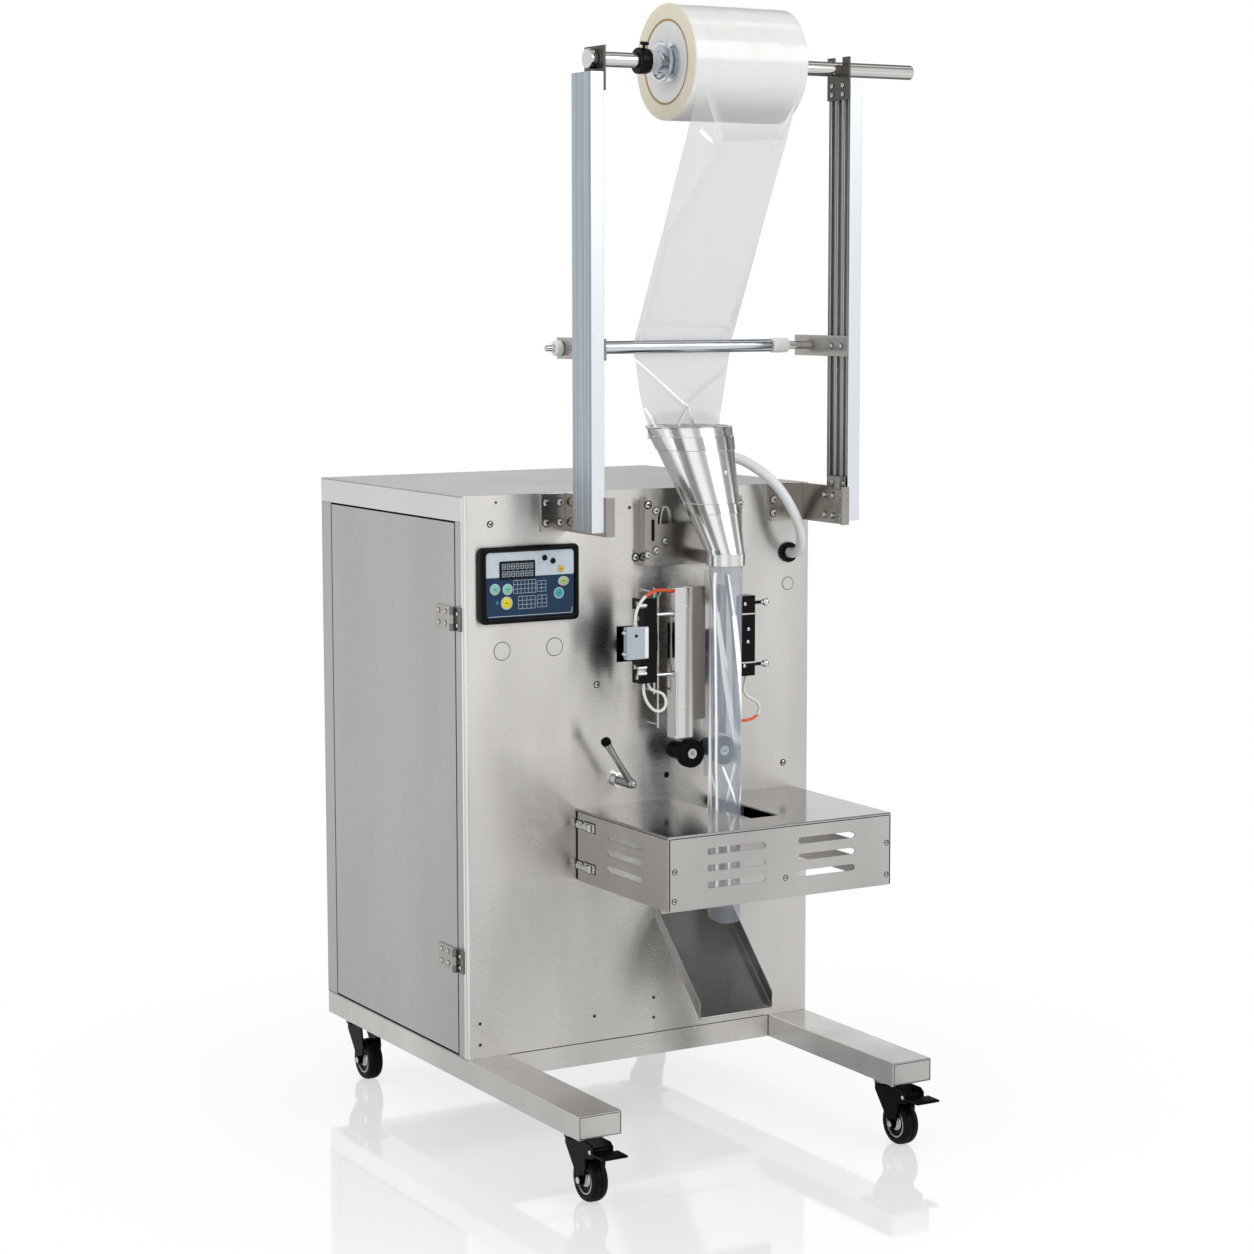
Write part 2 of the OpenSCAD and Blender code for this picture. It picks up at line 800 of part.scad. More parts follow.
module left_jaw_carrier() {
    x1 = left_carrier_x + carrier_w;
    y1 = carrier_y + carrier_w;
    top = carrier_z + carrier_h;
    color("black") place() {
        span([left_carrier_x, carrier_y, carrier_z], [x1, y1, top]);
        span([left_carrier_x - flange_w, carrier_y, carrier_z], [x1, y1, carrier_z + flange_foot]);
        span([left_carrier_x - flange_w, carrier_y, top - flange_top], [x1, y1, top]);
        for (z = [rod_inset, rod_inset + rod_pitch])
            rod_x(x1, left_bar_x, seal_y + 8, carrier_z + z, rod_r);
        jaw_arm(slot_left, -arm_play);
    }
}

// The clamp block in front of the left carrier, with the end of the heater's lead
clamp_w = 42;
clamp_h = 55;
clamp_d = 12;
clamp_rise = 44;
clamp_lap = 2;
module clamp_block() {
    x1 = left_carrier_x + clamp_lap;
    color("slategray") place()
        span([x1 - clamp_w, carrier_y - clamp_d, carrier_z + clamp_rise],
             [x1, carrier_y, carrier_z + clamp_rise + clamp_h]);
}

right_face_w = 10;
right_bar_w = 26;
right_face_x = tube_x + seal_gap;
right_bar_x = right_face_x + right_face_w;
module right_seal_face() {
    color("saddlebrown") place()
        span([right_face_x, face_y, seal_z + face_foot],
             [right_bar_x, seal_y + seal_d, seal_z + seal_l]);
}

module right_seal_bar() {
    color("silver") place()
        span([right_bar_x, seal_y, seal_z],
             [right_bar_x + right_bar_w, seal_y + seal_d, seal_z + seal_l]);
}

right_carrier_x = right_bar_x + right_bar_w;
right_carrier_w = 29;
right_carrier_h = 140;
right_carrier_y = seal_y - 8;
right_carrier_z = carrier_z - 2;
stud_l = 29;
module right_jaw_carrier() {
    x1 = right_carrier_x + right_carrier_w;
    color("black") place() {
        span([right_carrier_x, right_carrier_y, right_carrier_z],
             [x1, right_carrier_y + carrier_w, right_carrier_z + right_carrier_h]);
        jaw_arm(slot_right, arm_play);
        for (z = [18, right_carrier_h - 14])
            rod_x(x1, x1 + stud_l, seal_y + 5, right_carrier_z + z, rod_r);
    }
}

// A bar behind the front panel that guides the arms of both jaws
guide_bar_y = arm_end + slide_gap;
guide_bar_t = 8;
guide_bar_h = 26;
guide_bar_z = slot_z + (slot_h - guide_bar_h) / 2;
guide_post_w = 16;
module jaw_guide() {
    x0 = slot_left - guide_post_w - 8;
    x1 = slot_right + slot_w + guide_post_w + 8;
    bar_top = guide_bar_z + guide_bar_h;
    color("dimgray") place() {
        span([x0, guide_bar_y, guide_bar_z], [x1, guide_bar_y + guide_bar_t, bar_top]);
        for (x = [x0, x1 - guide_post_w])
            span([x, sheet_t, guide_bar_z], [x + guide_post_w, guide_bar_y, bar_top]);
    }
}

// Pull rollers on the ends of their shafts
pull_shaft_r = 6;
housing_gap = 3;
housing_l = -pull_y - pull_w - housing_gap;
housing_r = 16;
module pull_roller(side) {
    x = tube_x + side * pull_offset;
    color("black") place() {
        rod_y(x, pull_y, pull_y + pull_w, pull_z, pull_d / 2);
        rod_y(x, pull_y - 2, -slide_gap, pull_z, pull_shaft_r);
    }
}

module roller_housings() {
    color("silver") place()
        for (side = [-1, 1])
            difference() {
                rod_y(tube_x + side * pull_offset, -housing_l, 0, pull_z, housing_r);
                rod_y(tube_x + side * pull_offset, -housing_l - 1, 1, pull_z, pull_shaft_r + fit);
            }
}

// The hand lever, which turns on a boss on the panel
lever_x = 293;
lever_rise = 44;
lever_z = guard_top_z + lever_rise;
lever_y = -60;
lever_lean = 33;
lever_r = 5;
hub_r = 9;
hub_end = 15;
hub_cap = 8;
module hand_lever() {
    color("silver") place() {
        difference() {
            rod_y(lever_x, lever_y, -hub_end, lever_z, hub_r);
            rod_y(lever_x, lever_y + hub_cap, 1 - hub_end, lever_z, lever_r + fit);
        }
        translate([lever_x, lever_y + hub_cap, lever_z]) rotate([0, -lever_lean, 0])
            translate([0, 0, lever_r + 1]) cylinder(h = lever_l - lever_r - 1, r = lever_r);
    }
}

boss_w = 13;
module lever_boss() {
    color("silver") place() {
        rod_y(lever_x, 1 - hub_end, 0, lever_z, boss_w);
        rod_y(lever_x, lever_y + hub_cap + 1, -10, lever_z, lever_r);
    }
}

// Slots in the guard's walls
vent_h = 11;
vent_l = 115;
vent_pitch = 28;
vent_top = 31;
vent_inset = 74;
side_vent_inset = 85;
module vent() {
    hull() for (s = [vent_h / 2, vent_l - vent_h / 2])
        translate([s, 0]) circle(r = vent_h / 2);
}

module vent_column() {
    for (i = [0 : 2]) translate([0, guard_h - vent_top - i * vent_pitch]) vent();
}

module guard_walls() {
    x0 = guard_x;
    x1 = guard_x + guard_w;
    top = guard_top_z - sheet_t;
    color("silver") place() difference() {
        union() {
            span([x0, -guard_d, guard_z], [x1, -guard_d + sheet_t, top]);
            span([x0, -guard_d, guard_z], [x0 + sheet_t, 0, top]);
            span([x1 - sheet_t, -guard_d, guard_z], [x1, 0, top]);
        }
        for (x = [x0 + vent_inset, x1 - vent_inset - vent_l])
            translate([x, -guard_d - 1, guard_z]) rotate([90, 0, 0])
                translate([0, 0, -sheet_t - 2]) linear_extrude(height = sheet_t + 2) vent_column();
        for (x = [x0 - 1, x1 - sheet_t - 1])
            translate([x, -guard_d + side_vent_inset, guard_z]) rotate([90, 0, 90])
                linear_extrude(height = sheet_t + 2) vent_column();
    }
}

module guard_top() {
    color("silver") place() difference() {
        span([guard_x, -guard_d, guard_top_z - sheet_t], [guard_x + guard_w, 0, guard_top_z]);
        span([tube_x - top_slot_w / 2, -top_slot_l, guard_top_z - sheet_t - 1],
             [tube_x + top_slot_w / 2, 1, guard_top_z + 1]);
    }
}

// The chute: a sloping tray with two walls
module chute_outline(up) {
    polygon([[0, chute_z + chute_reach], [0, chute_z + chute_reach + up],
             [-chute_reach, chute_z + up], [-chute_reach, chute_z]]);
}

module discharge_chute() {
    slant = sqrt(2);
    color("silver") place() translate([chute_x, 0, 0]) rotate([90, 0, 90]) {
        linear_extrude(height = chute_w) chute_outline(sheet_t * slant);
        for (x = [0, chute_w - sheet_t])
            translate([0, 0, x]) linear_extrude(height = sheet_t) chute_outline(chute_wall * slant);
    }
}

panel_x = 28;
panel_drop = 86;
panel_z = top_z - panel_drop - panel_h;
module control_panel() {
    color("black") place()
        span([panel_x, -panel_t, panel_z], [panel_x + panel_w, 0, panel_z + panel_h]);
}

// The hose from the grommet on the panel to the back of the funnel
grommet_inset = 43;
grommet_drop = 123;
grommet_x = cab_w - grommet_inset;
grommet_z = top_z - grommet_drop;
grommet_r = 13;
hose_r = 9;
hose_gap = 0.3;
module hose_grommet() {
    color("black") place() difference() {
        union() {
            rod_y(grommet_x, -6, 0, grommet_z, grommet_r + 5);
            rod_y(grommet_x, -1, sheet_t + 3, grommet_z, grommet_r);
        }
        rod_y(grommet_x, -7, sheet_t + 4, grommet_z, hose_r + hose_gap);
    }
}

// The hose's route, from the middle of the grommet's face
hose_route = [
    [0, 4, 0], [0.1, -10.7, -0.5], [-0.4, -25.1, 1.6], [-1.9, -37.9, 7.6], [-4.4, -48, 16.9],
    [-7.7, -54.9, 28.9], [-11.7, -57.5, 42.6], [-16.2, -56.8, 56.6], [-21, -54.1, 70.2],
    [-26.3, -50.3, 83.4], [-32.2, -45.9, 96.2], [-38.8, -41.3, 108.4], [-46.2, -36.1, 120],
    [-54.4, -30.2, 130.7], [-63.3, -23.7, 140.3], [-72.7, -16.5, 149.1], [-82.6, -9.1, 157.2],
    [-93.1, -1.9, 164.4], [-105.4, 4.2, 169.7], [-119.1, 8.5, 172.9], [-133.4, 11, 174.8],
    [-148, 12, 176]
];

// The heater's leads: the upper one from the left bar's top corner to the clamp block, the lower
// one a loop under the left carrier, the right one from the right carrier round to its bar
lead_r = 2.6;
upper_route = [
    [-0.3, 13, -7], [-8.7, 11.6, -4.5], [-16.9, 9, -2.9], [-25, 5.5, -2], [-32.9, 1.6, -1.5],
    [-40.6, -2.7, -1.7], [-48.2, -7.1, -2.6], [-55.9, -11, -4.5], [-63.8, -13.8, -7.4],
    [-71.3, -15.6, -11.7], [-77.8, -17, -17.4], [-83.1, -17.9, -24.5], [-86.8, -18.1, -32.5],
    [-88.8, -18, -41], [-89.4, -18, -49.9], [-89.4, -18, -58.7]
];
lower_route = [
    [5, 9, -0.3], [4.4, 9.1, -8.4], [4.9, 8.9, -16.5], [6.8, 8.4, -24.4], [9.9, 7.9, -31.9],
    [14.2, 7.3, -38.8], [19.8, 7, -44.7], [26.5, 6.9, -49.2], [34.3, 7.1, -51],
    [42.1, 7.6, -48.8], [47.5, 8.5, -43], [49.5, 9.8, -35.3], [48.1, 11.7, -27.6],
    [43.7, 13.9, -21.6], [37, 16.4, -18.6], [29.9, 18.7, -16.2], [24.2, 20.3, -12.2],
    [21.5, 20.9, -6.4], [21, 21, -0.4]
];
right_route = [
    [18, 15, -0.3], [18.7, 15.8, -8.8], [17.4, 16.8, -17.3], [17.1, 18.1, -25.7],
    [21, 19.9, -33.1], [27.2, 21.5, -38.7], [34.4, 23, -43.1], [42, 24.3, -47],
    [49.1, 25.4, -51.6], [54.1, 26.1, -58.5], [54.3, 26.3, -66.9], [50, 25.7, -74.3],
    [42.8, 24.7, -78.6], [34.5, 23.5, -80.7], [26, 22.5, -81.4], [17.5, 21.8, -81.5],
    [8.9, 21.3, -81.3], [0.3, 21, -81]
];
function unit(v) = v / norm(v);
function heading(p, i) = unit(p[min(i + 1, len(p) - 1)] - p[max(i - 1, 0)]);
function ring(c, d, r, n, side) =
    let (a = unit(cross(d, side)), b = cross(d, a))
    [for (k = [0 : n - 1]) c + r * (cos(360 * k / n) * a + sin(360 * k / n) * b)];

module swept(p, r, n, side) {
    points = [for (i = [0 : len(p) - 1]) each ring(p[i], heading(p, i), r, n, side)];
    last = (len(p) - 1) * n;
    polyhedron(points, concat(
        [[for (k = [0 : n - 1]) k]],
        [for (i = [0 : len(p) - 2], k = [0 : n - 1])
            [i * n + k, (i + 1) * n + k, (i + 1) * n + (k + 1) % n, i * n + (k + 1) % n]],
        [[for (k = [n - 1 : -1 : 0]) last + k]]
    ));
}

module hose() {
    color("whitesmoke") place() translate([grommet_x, 0, grommet_z])
        swept(hose_route, hose_r, 12, [0.1, 0.2, 1]);
}

module lead(corner, route) {
    color("white") place() translate(corner) swept(route, lead_r, 8, [0, 1, 0]);
}

base_legs();
cross_beams();
floor_plate();
front_panel();
back_panel();
right_panel();
top_cover();
corner_posts();
header_rails();
side_door();
hinge_frame_leaves();
hinge_door_leaves();
caster_plates();
fork(caster_left, caster_front, true);  // fork_front_left
fork(caster_right, caster_front, true);  // fork_front_right
fork(caster_left, caster_rear, false);  // fork_rear_left
fork(caster_right, caster_rear, false);  // fork_rear_right
wheel(caster_left, caster_front);  // wheel_front_left
wheel(caster_right, caster_front);  // wheel_front_right
wheel(caster_left, caster_rear);  // wheel_rear_left
wheel(caster_right, caster_rear);  // wheel_rear_right
brake_pedal(caster_left, caster_front);  // brake_pedal_left
brake_pedal(caster_right, caster_front);  // brake_pedal_right
reel_posts();
post_arms();
shaft_brackets();
reel_shaft();
shaft_collars();
reel_cones();
core_plugs();
film_roll();
film_web();
guide_roller();
guide_axle();
guide_brackets();
forming_funnel();
funnel_bracket();
film_tube();
left_seal_bar();
left_seal_face();
left_jaw_carrier();
right_seal_bar();
right_seal_face();
right_jaw_carrier();
jaw_guide();
pull_roller(-1);  // pull_roller_left
pull_roller(1);  // pull_roller_right
roller_housings();
hand_lever();
lever_boss();
guard_walls();
guard_top();
discharge_chute();
control_panel();
hose();
hose_grommet();
clamp_block();
lead([left_bar_x, seal_y, seal_z + seal_l], upper_route);  // heater_lead_upper
lead([left_carrier_x, carrier_y, carrier_z], lower_route);  // heater_lead_lower
lead([right_carrier_x, right_carrier_y, right_carrier_z], right_route);  // heater_lead_right
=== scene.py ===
"""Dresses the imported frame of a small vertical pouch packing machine.

The machine stands on casters: a brushed steel cabinet, a film reel on two posts, a forming
funnel, a vertical seal with pull rollers, a guard box and a discharge chute. Sizes are written
in the machine's own millimetres, with x along the front, y towards the back, z up, the front
panel at y = 0 and the cabinet's left side at x = 0. Everything is put into the mesh in metres
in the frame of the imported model.
"""

from __future__ import annotations

import json
import logging
import math
from dataclasses import dataclass, field
from enum import Enum
from typing import Any, Callable, Iterable, Sequence

import bmesh
import bpy
import numpy as np
from mathutils import Matrix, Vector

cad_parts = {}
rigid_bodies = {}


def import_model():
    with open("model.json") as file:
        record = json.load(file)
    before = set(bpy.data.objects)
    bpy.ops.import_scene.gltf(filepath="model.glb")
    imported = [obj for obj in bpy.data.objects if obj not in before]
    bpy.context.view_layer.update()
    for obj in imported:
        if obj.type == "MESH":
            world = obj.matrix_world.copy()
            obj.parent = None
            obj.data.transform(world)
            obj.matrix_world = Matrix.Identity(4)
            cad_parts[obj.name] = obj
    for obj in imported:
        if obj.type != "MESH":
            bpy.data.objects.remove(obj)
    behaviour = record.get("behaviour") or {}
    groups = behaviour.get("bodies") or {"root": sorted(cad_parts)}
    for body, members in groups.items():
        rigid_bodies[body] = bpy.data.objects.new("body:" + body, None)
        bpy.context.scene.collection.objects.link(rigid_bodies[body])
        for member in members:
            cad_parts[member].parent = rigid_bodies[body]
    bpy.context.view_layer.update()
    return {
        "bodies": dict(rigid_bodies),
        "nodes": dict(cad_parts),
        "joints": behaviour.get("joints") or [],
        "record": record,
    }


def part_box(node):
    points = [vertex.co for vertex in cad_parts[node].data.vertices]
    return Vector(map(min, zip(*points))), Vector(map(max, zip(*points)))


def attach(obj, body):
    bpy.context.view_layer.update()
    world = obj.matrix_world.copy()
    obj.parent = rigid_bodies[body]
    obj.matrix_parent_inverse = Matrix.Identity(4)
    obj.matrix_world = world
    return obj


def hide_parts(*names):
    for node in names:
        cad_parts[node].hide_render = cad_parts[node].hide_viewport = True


LOG = logging.getLogger("pouch_packing_machine")
MM = 0.001
ROW_ORIGIN = np.array([408.25, 67.5, 0.0])
Point = Sequence[float]
Colour = tuple[float, float, float]


class Grain(Enum):
    """Which way a metal is brushed: the noise's scale along x, y and z, per metre."""

    ACROSS = (6.0, 850.0, 850.0)
    DEEP = (850.0, 6.0, 850.0)
    UPRIGHT = (850.0, 850.0, 6.0)
    NONE = (40.0, 40.0, 40.0)


class Head(Enum):
    """The kinds of screw head on the machine."""

    BUTTON = "button"
    HEX = "hex"
    PAN = "pan"
    NUT = "nut"


class Axis(Enum):
    """A direction, as the turn that brings +z to it: an axis and its degrees."""

    RIGHT = ("Y", 90)
    LEFT = ("Y", -90)
    FRONT = ("X", 90)
    DOWN = ("X", 180)

# Shells: surfaces worked out as arrays


@dataclass
class Shell:
    """Points in machine millimetres and the faces between them, each an array of one face size."""

    points: np.ndarray
    faces: list[np.ndarray]

    def moved(self, x: float = 0.0, y: float = 0.0, z: float = 0.0) -> "Shell":
        """Returns the shell shifted by x, y and z."""
        return Shell(self.points + np.array([x, y, z]), self.faces)

    def turned(self, axis: str, degrees: float) -> "Shell":
        """Returns the shell turned about the X, Y or Z axis by the right hand."""
        matrix = np.array(Matrix.Rotation(math.radians(degrees), 3, axis))
        return Shell(self.points @ matrix.T, self.faces)

    def pointing(self, axis: Axis, x: float = 0.0, y: float = 0.0, z: float = 0.0) -> "Shell":
        """Turns a shell made along +z to point along an axis, then shifts it by x, y and z."""
        return self.turned(*axis.value).moved(x, y, z)

    @staticmethod
    def joined(shells: Iterable["Shell"]) -> "Shell":
        """Puts several shells into one.

        Args:
            shells: the shells to join.

        Returns:
            One shell with all their points and faces.
        """
        parts = list(shells)
        starts = np.cumsum([0] + [len(part.points) for part in parts[:-1]])
        faces = [face + start for part, start in zip(parts, starts) for face in part.faces]
        return Shell(np.concatenate([part.points for part in parts]), faces)


def surface(points: np.ndarray, around: bool = False, looped: bool = False) -> Shell:
    """Covers a grid of points with quads: face (i, j) has corners i, i + 1 by j, j + 1.

    Args:
        points: an array of shape (u, v, 3).
        around: whether the last row joins the first.
        looped: whether the last column joins the first.

    Returns:
        The shell over the grid.
    """
    rows, cols = points.shape[:2]
    i, j = np.meshgrid(np.arange(rows if around else rows - 1),
                       np.arange(cols if looped else cols - 1), indexing="ij")
    after_i, after_j = (i + 1) % rows, (j + 1) % cols
    quads = np.stack([i * cols + j, after_i * cols + j,
                      after_i * cols + after_j, i * cols + after_j], -1)
    return Shell(points.reshape(-1, 3).astype(float), [quads.reshape(-1, 4)])


def lathed(profile: Sequence[Point], sides: int = 48, corners: int = 0) -> Shell:
    """Turns a profile about z: x = r cos(a), y = r sin(a), z = height.

    Args:
        profile: (radius, height) pairs; a radius of 0 closes an end.
        sides: steps round the axis.
        corners: 6 for a hexagon, whose radius at angle a is r cos(30) / cos(a mod 60 - 30).

    Returns:
        The turned shell.
    """
    shape = np.array(profile, float)
    angle = np.arange(sides) * 2 * math.pi / sides
    swell = np.ones(sides)
    if corners:
        part = 2 * math.pi / corners
        swell = math.cos(part / 2) / np.cos(np.mod(angle, part) - part / 2)
    radius = shape[:, 0][:, None] * swell[None, :]
    height = np.repeat(shape[:, 1][:, None], sides, 1)
    return surface(np.stack([radius * np.cos(angle), radius * np.sin(angle), height], -1),
                   looped=True)


def ringed(outer: float, inner: float, low: float, high: float, edge: float = 0.6,
           sides: int = 48) -> Shell:
    """A ring about z whose section is a rectangle with its four corners cut by edge.

    Args:
        outer: outer radius.
        inner: inner radius.
        low: its lower face.
        high: its upper face.
        edge: the width of the cut corners.
        sides: steps round the axis.

    Returns:
        The closed ring.
    """
    section = [(inner + edge, low), (outer - edge, low), (outer, low + edge),
               (outer, high - edge), (outer - edge, high), (inner + edge, high),
               (inner, high - edge), (inner, low + edge), (inner + edge, low)]
    return lathed(section, sides)


def rod(radius: float, length: float, edge: float = 0.8, sides: int = 32) -> Shell:
    """Returns a round bar along +z from 0 to its length, with ends chamfered by edge."""
    return lathed([(0, 0), (radius - edge, 0), (radius, edge), (radius, length - edge),
                   (radius - edge, length), (0, length)], sides)


def carried(path: np.ndarray, section: np.ndarray, swell: np.ndarray | None = None,
            capped: bool = True) -> Shell:
    """Carries a closed section along a path: point = path + side * a + lift * b.

    The side vector is the tangent crossed with the direction in which the path turns least,
    so it needs no step by step frame.

    Args:
        path: an array of shape (n, 3).
        section: an array of shape (m, 2) of (a, b) offsets.
        swell: a factor of the section for each path point.
        capped: whether both ends are closed by a face.

    Returns:
        The shell along the path.
    """
    tangent = np.gradient(path, axis=0)
    tangent /= np.linalg.norm(tangent, axis=1)[:, None]
    least = np.linalg.svd(tangent)[2][-1]
    side = np.cross(tangent, least)
    side /= np.linalg.norm(side, axis=1)[:, None]
    lift = np.cross(side, tangent)
    factor = np.ones(len(path)) if swell is None else swell
    offset = factor[:, None, None] * section[None, :, :]
    points = (path[:, None, :] + side[:, None, :] * offset[..., :1]
              + lift[:, None, :] * offset[..., 1:])
    shell = surface(points, looped=True)
    if capped:
        ring = np.arange(len(section))
        shell.faces.append(ring[None, :])
        shell.faces.append((len(path) - 1) * len(section) + ring[None, ::-1])
    return shell


def circle(radius: float, sides: int = 20) -> np.ndarray:
    """Returns points on a circle, anticlockwise: (r cos a, r sin a)."""
    angle = np.arange(sides) * 2 * math.pi / sides
    return radius * np.stack([np.cos(angle), np.sin(angle)], -1)


def rounded_outline(width: float, height: float, radius: float, steps: int = 6) -> np.ndarray:
    """A rectangle with round corners, centred: four quarter circles joined by straight sides.

    Args:
        width: size along the first axis.
        height: size along the second axis.
        radius: the corner's radius.
        steps: points on each corner.

    Returns:
        An array of shape (4 * steps, 2), anticlockwise.
    """
    quarter = np.linspace(0, math.pi / 2, steps)
    angle = (np.arange(4) * math.pi / 2)[:, None] + quarter[None, :]
    signs = np.array([(1, 1), (-1, 1), (-1, -1), (1, -1)])
    centre = signs * np.array([width / 2 - radius, height / 2 - radius])
    points = centre[:, None, :] + radius * np.stack([np.cos(angle), np.sin(angle)], -1)
    return points.reshape(-1, 2)


def slab(outline: np.ndarray, depth: float, edge: float = 0.5) -> Shell:
    """A plate along +z: its outline drawn in by edge at both faces, and full between them.

    Args:
        outline: an array of shape (n, 2), anticlockwise, in the plane across z.
        depth: the plate's thickness.
        edge: the width of the chamfer round both faces.

    Returns:
        The closed plate.
    """
    middle = (outline.max(0) + outline.min(0)) / 2
    reach = (outline.max(0) - outline.min(0)) / 2
    factor = (reach - edge) / reach
    small = middle + (outline - middle) * factor
    heights = (0.0, edge, depth - edge, depth)
    loops = [np.c_[shape, np.full(len(shape), z)]
             for shape, z in zip((small, outline, outline, small), heights)]
    shell = surface(np.stack(loops), looped=True)
    ring = np.arange(len(outline))
    shell.faces += [ring[None, ::-1], 3 * len(outline) + ring[None, :]]
    return shell


def block(low: Point, high: Point, edge: float = 0.8) -> Shell:
    """A box between two corners with chamfered edges along z.

    Args:
        low: the lowest corner.
        high: the highest corner.
        edge: the chamfer.

    Returns:
        The closed box.
    """
    a, b = np.array(low, float), np.array(high, float)
    size, mid = b - a, (a + b) / 2
    shell = slab(rounded_outline(size[0], size[1], edge, 3), size[2], min(edge, size[2] / 3))
    return shell.moved(mid[0], mid[1], a[2])


def screw(head: Head, size: float) -> Shell:
    """A screw head that stands on z = 0 and points along +z.

    A button head is a dome with a hexagonal socket, a pan head is a dome with a shallow
    dimple, a hex head and a nut are six-sided on a washer.

    Args:
        head: its kind.
        size: the head's radius.

    Returns:
        The closed head.
    """
    if head is Head.BUTTON:
        dome = lathed([(size * 0.5, size * 0.55), (size * 0.78, size * 0.46),
                       (size, size * 0.16), (size, 0), (0, 0)], 24)
        socket = lathed([(0, size * 0.12), (size * 0.44, size * 0.12),
                         (size * 0.5, size * 0.55)], 24, 6)
        return Shell.joined([dome, socket])
    if head is Head.PAN:
        return lathed([(0, size * 0.4), (size * 0.2, size * 0.42), (size * 0.3, size * 0.62),
                       (size * 0.7, size * 0.5), (size, size * 0.18), (size, 0), (0, 0)], 24)
    washer = ringed(size * 1.15, size * 0.3, 0, size * 0.22, size * 0.05, 24)
    top = size * (0.85 if head is Head.HEX else 1.0)
    body = lathed([(0, size * 0.2), (size, size * 0.2), (size, top - size * 0.12),
                   (size * 0.86, top), (size * 0.55, top), (size * 0.5, top * 0.9),
                   (0, top * 0.9)], 24, 6)
    parts = [washer, body]
    if head is Head.NUT:
        parts.append(rod(size * 0.48, size * 1.5, size * 0.1, 16))
    return Shell.joined(parts)


def shade_discs(head: Head, size: float, axis: Axis, places: Iterable[Point]) -> Shell:
    """Painted shade as thin discs: a dark rim under each head and a dark bottom in its socket.

    Args:
        head: its kind.
        size: the head's radius.
        axis: the way that the heads point.
        places: machine points on the face that carries them.

    Returns:
        One shell with every disc.
    """
    wide = size * (1.3 if head in (Head.BUTTON, Head.PAN) else 1.42)
    depth = {Head.BUTTON: 0.14, Head.PAN: 0.44, Head.HEX: 0.78, Head.NUT: 1.5}[head]
    shape = Shell.joined([rod(wide, 0.3, 0.1, 20),
                          rod(size * 0.34, 0.2, 0.05, 12).moved(z=size * depth)]).pointing(axis)
    return Shell.joined(shape.moved(*place) for place in places)


def screws(head: Head, size: float, axis: Axis, places: Iterable[Point]) -> Shell:
    """Returns the same screw head at several machine points, pointing along an axis."""
    shape = screw(head, size).pointing(axis)
    return Shell.joined(shape.moved(*place) for place in places)


def ridge(across: np.ndarray, along: np.ndarray, start: Point, end: Point, width: float,
          height: float) -> np.ndarray:
    """A crease in a sheet: height * exp(-distance to a line / width), faded past its ends.

    Args:
        across: the sheet's first coordinate at each point.
        along: the sheet's second coordinate at each point.
        start: one end of the crease.
        end: its other end.
        width: how fast the crease dies away.
        height: its height, negative for a valley.

    Returns:
        The offset at each point.
    """
    a, b = np.array(start, float), np.array(end, float)
    length = np.linalg.norm(b - a)
    way = (b - a) / length
    part_x, part_y = across - a[0], along - a[1]
    run = np.clip(part_x * way[0] + part_y * way[1], 0, length)
    distance = np.hypot(part_x - run * way[0], part_y - run * way[1])
    return height * np.exp(-distance / width)


def smooth(value: np.ndarray) -> np.ndarray:
    """Returns 3 t^2 - 2 t^3 with t kept between 0 and 1."""
    t = np.clip(value, 0, 1)
    return t * t * (3 - 2 * t)


# Look: materials as node trees


def operator(operation: str, swapped: bool = False) -> Callable[[Any, Any], "Socket"]:
    """Makes a Socket's operator.

    Args:
        operation: the Math node's operation.
        swapped: whether the other value comes first.

    Returns:
        The method.
    """
    def method(socket: "Socket", other: Any) -> "Socket":
        """Adds the Math node."""
        return socket.maths(operation, *((other, socket) if swapped else (socket, other)))

    return method


class Socket:
    """An output of a node. Arithmetic on it adds Math nodes and gives a new socket."""

    def __init__(self, desk: "Desk", output: Any) -> None:
        """Keeps the desk that makes nodes and the output that this stands for."""
        self.desk = desk
        self.output = output

    def maths(self, operation: str, *values: Any) -> "Socket":
        """Adds one Math node on the values, sockets or numbers, and returns its result."""
        return self.desk.node("Math", {"operation": operation}, dict(enumerate(values)))

    __add__ = __radd__ = operator("ADD")
    __mul__ = __rmul__ = operator("MULTIPLY")
    __sub__ = operator("SUBTRACT")
    __rsub__ = operator("SUBTRACT", swapped=True)
    __truediv__ = operator("DIVIDE")

    def above(self, low: float, high: float) -> "Socket":
        """Returns a smooth step: 0 under low, 1 over high."""
        return self.desk.node("MapRange", {"interpolation_type": "SMOOTHSTEP"},
                              {"Value": self, "From Min": low, "From Max": high})


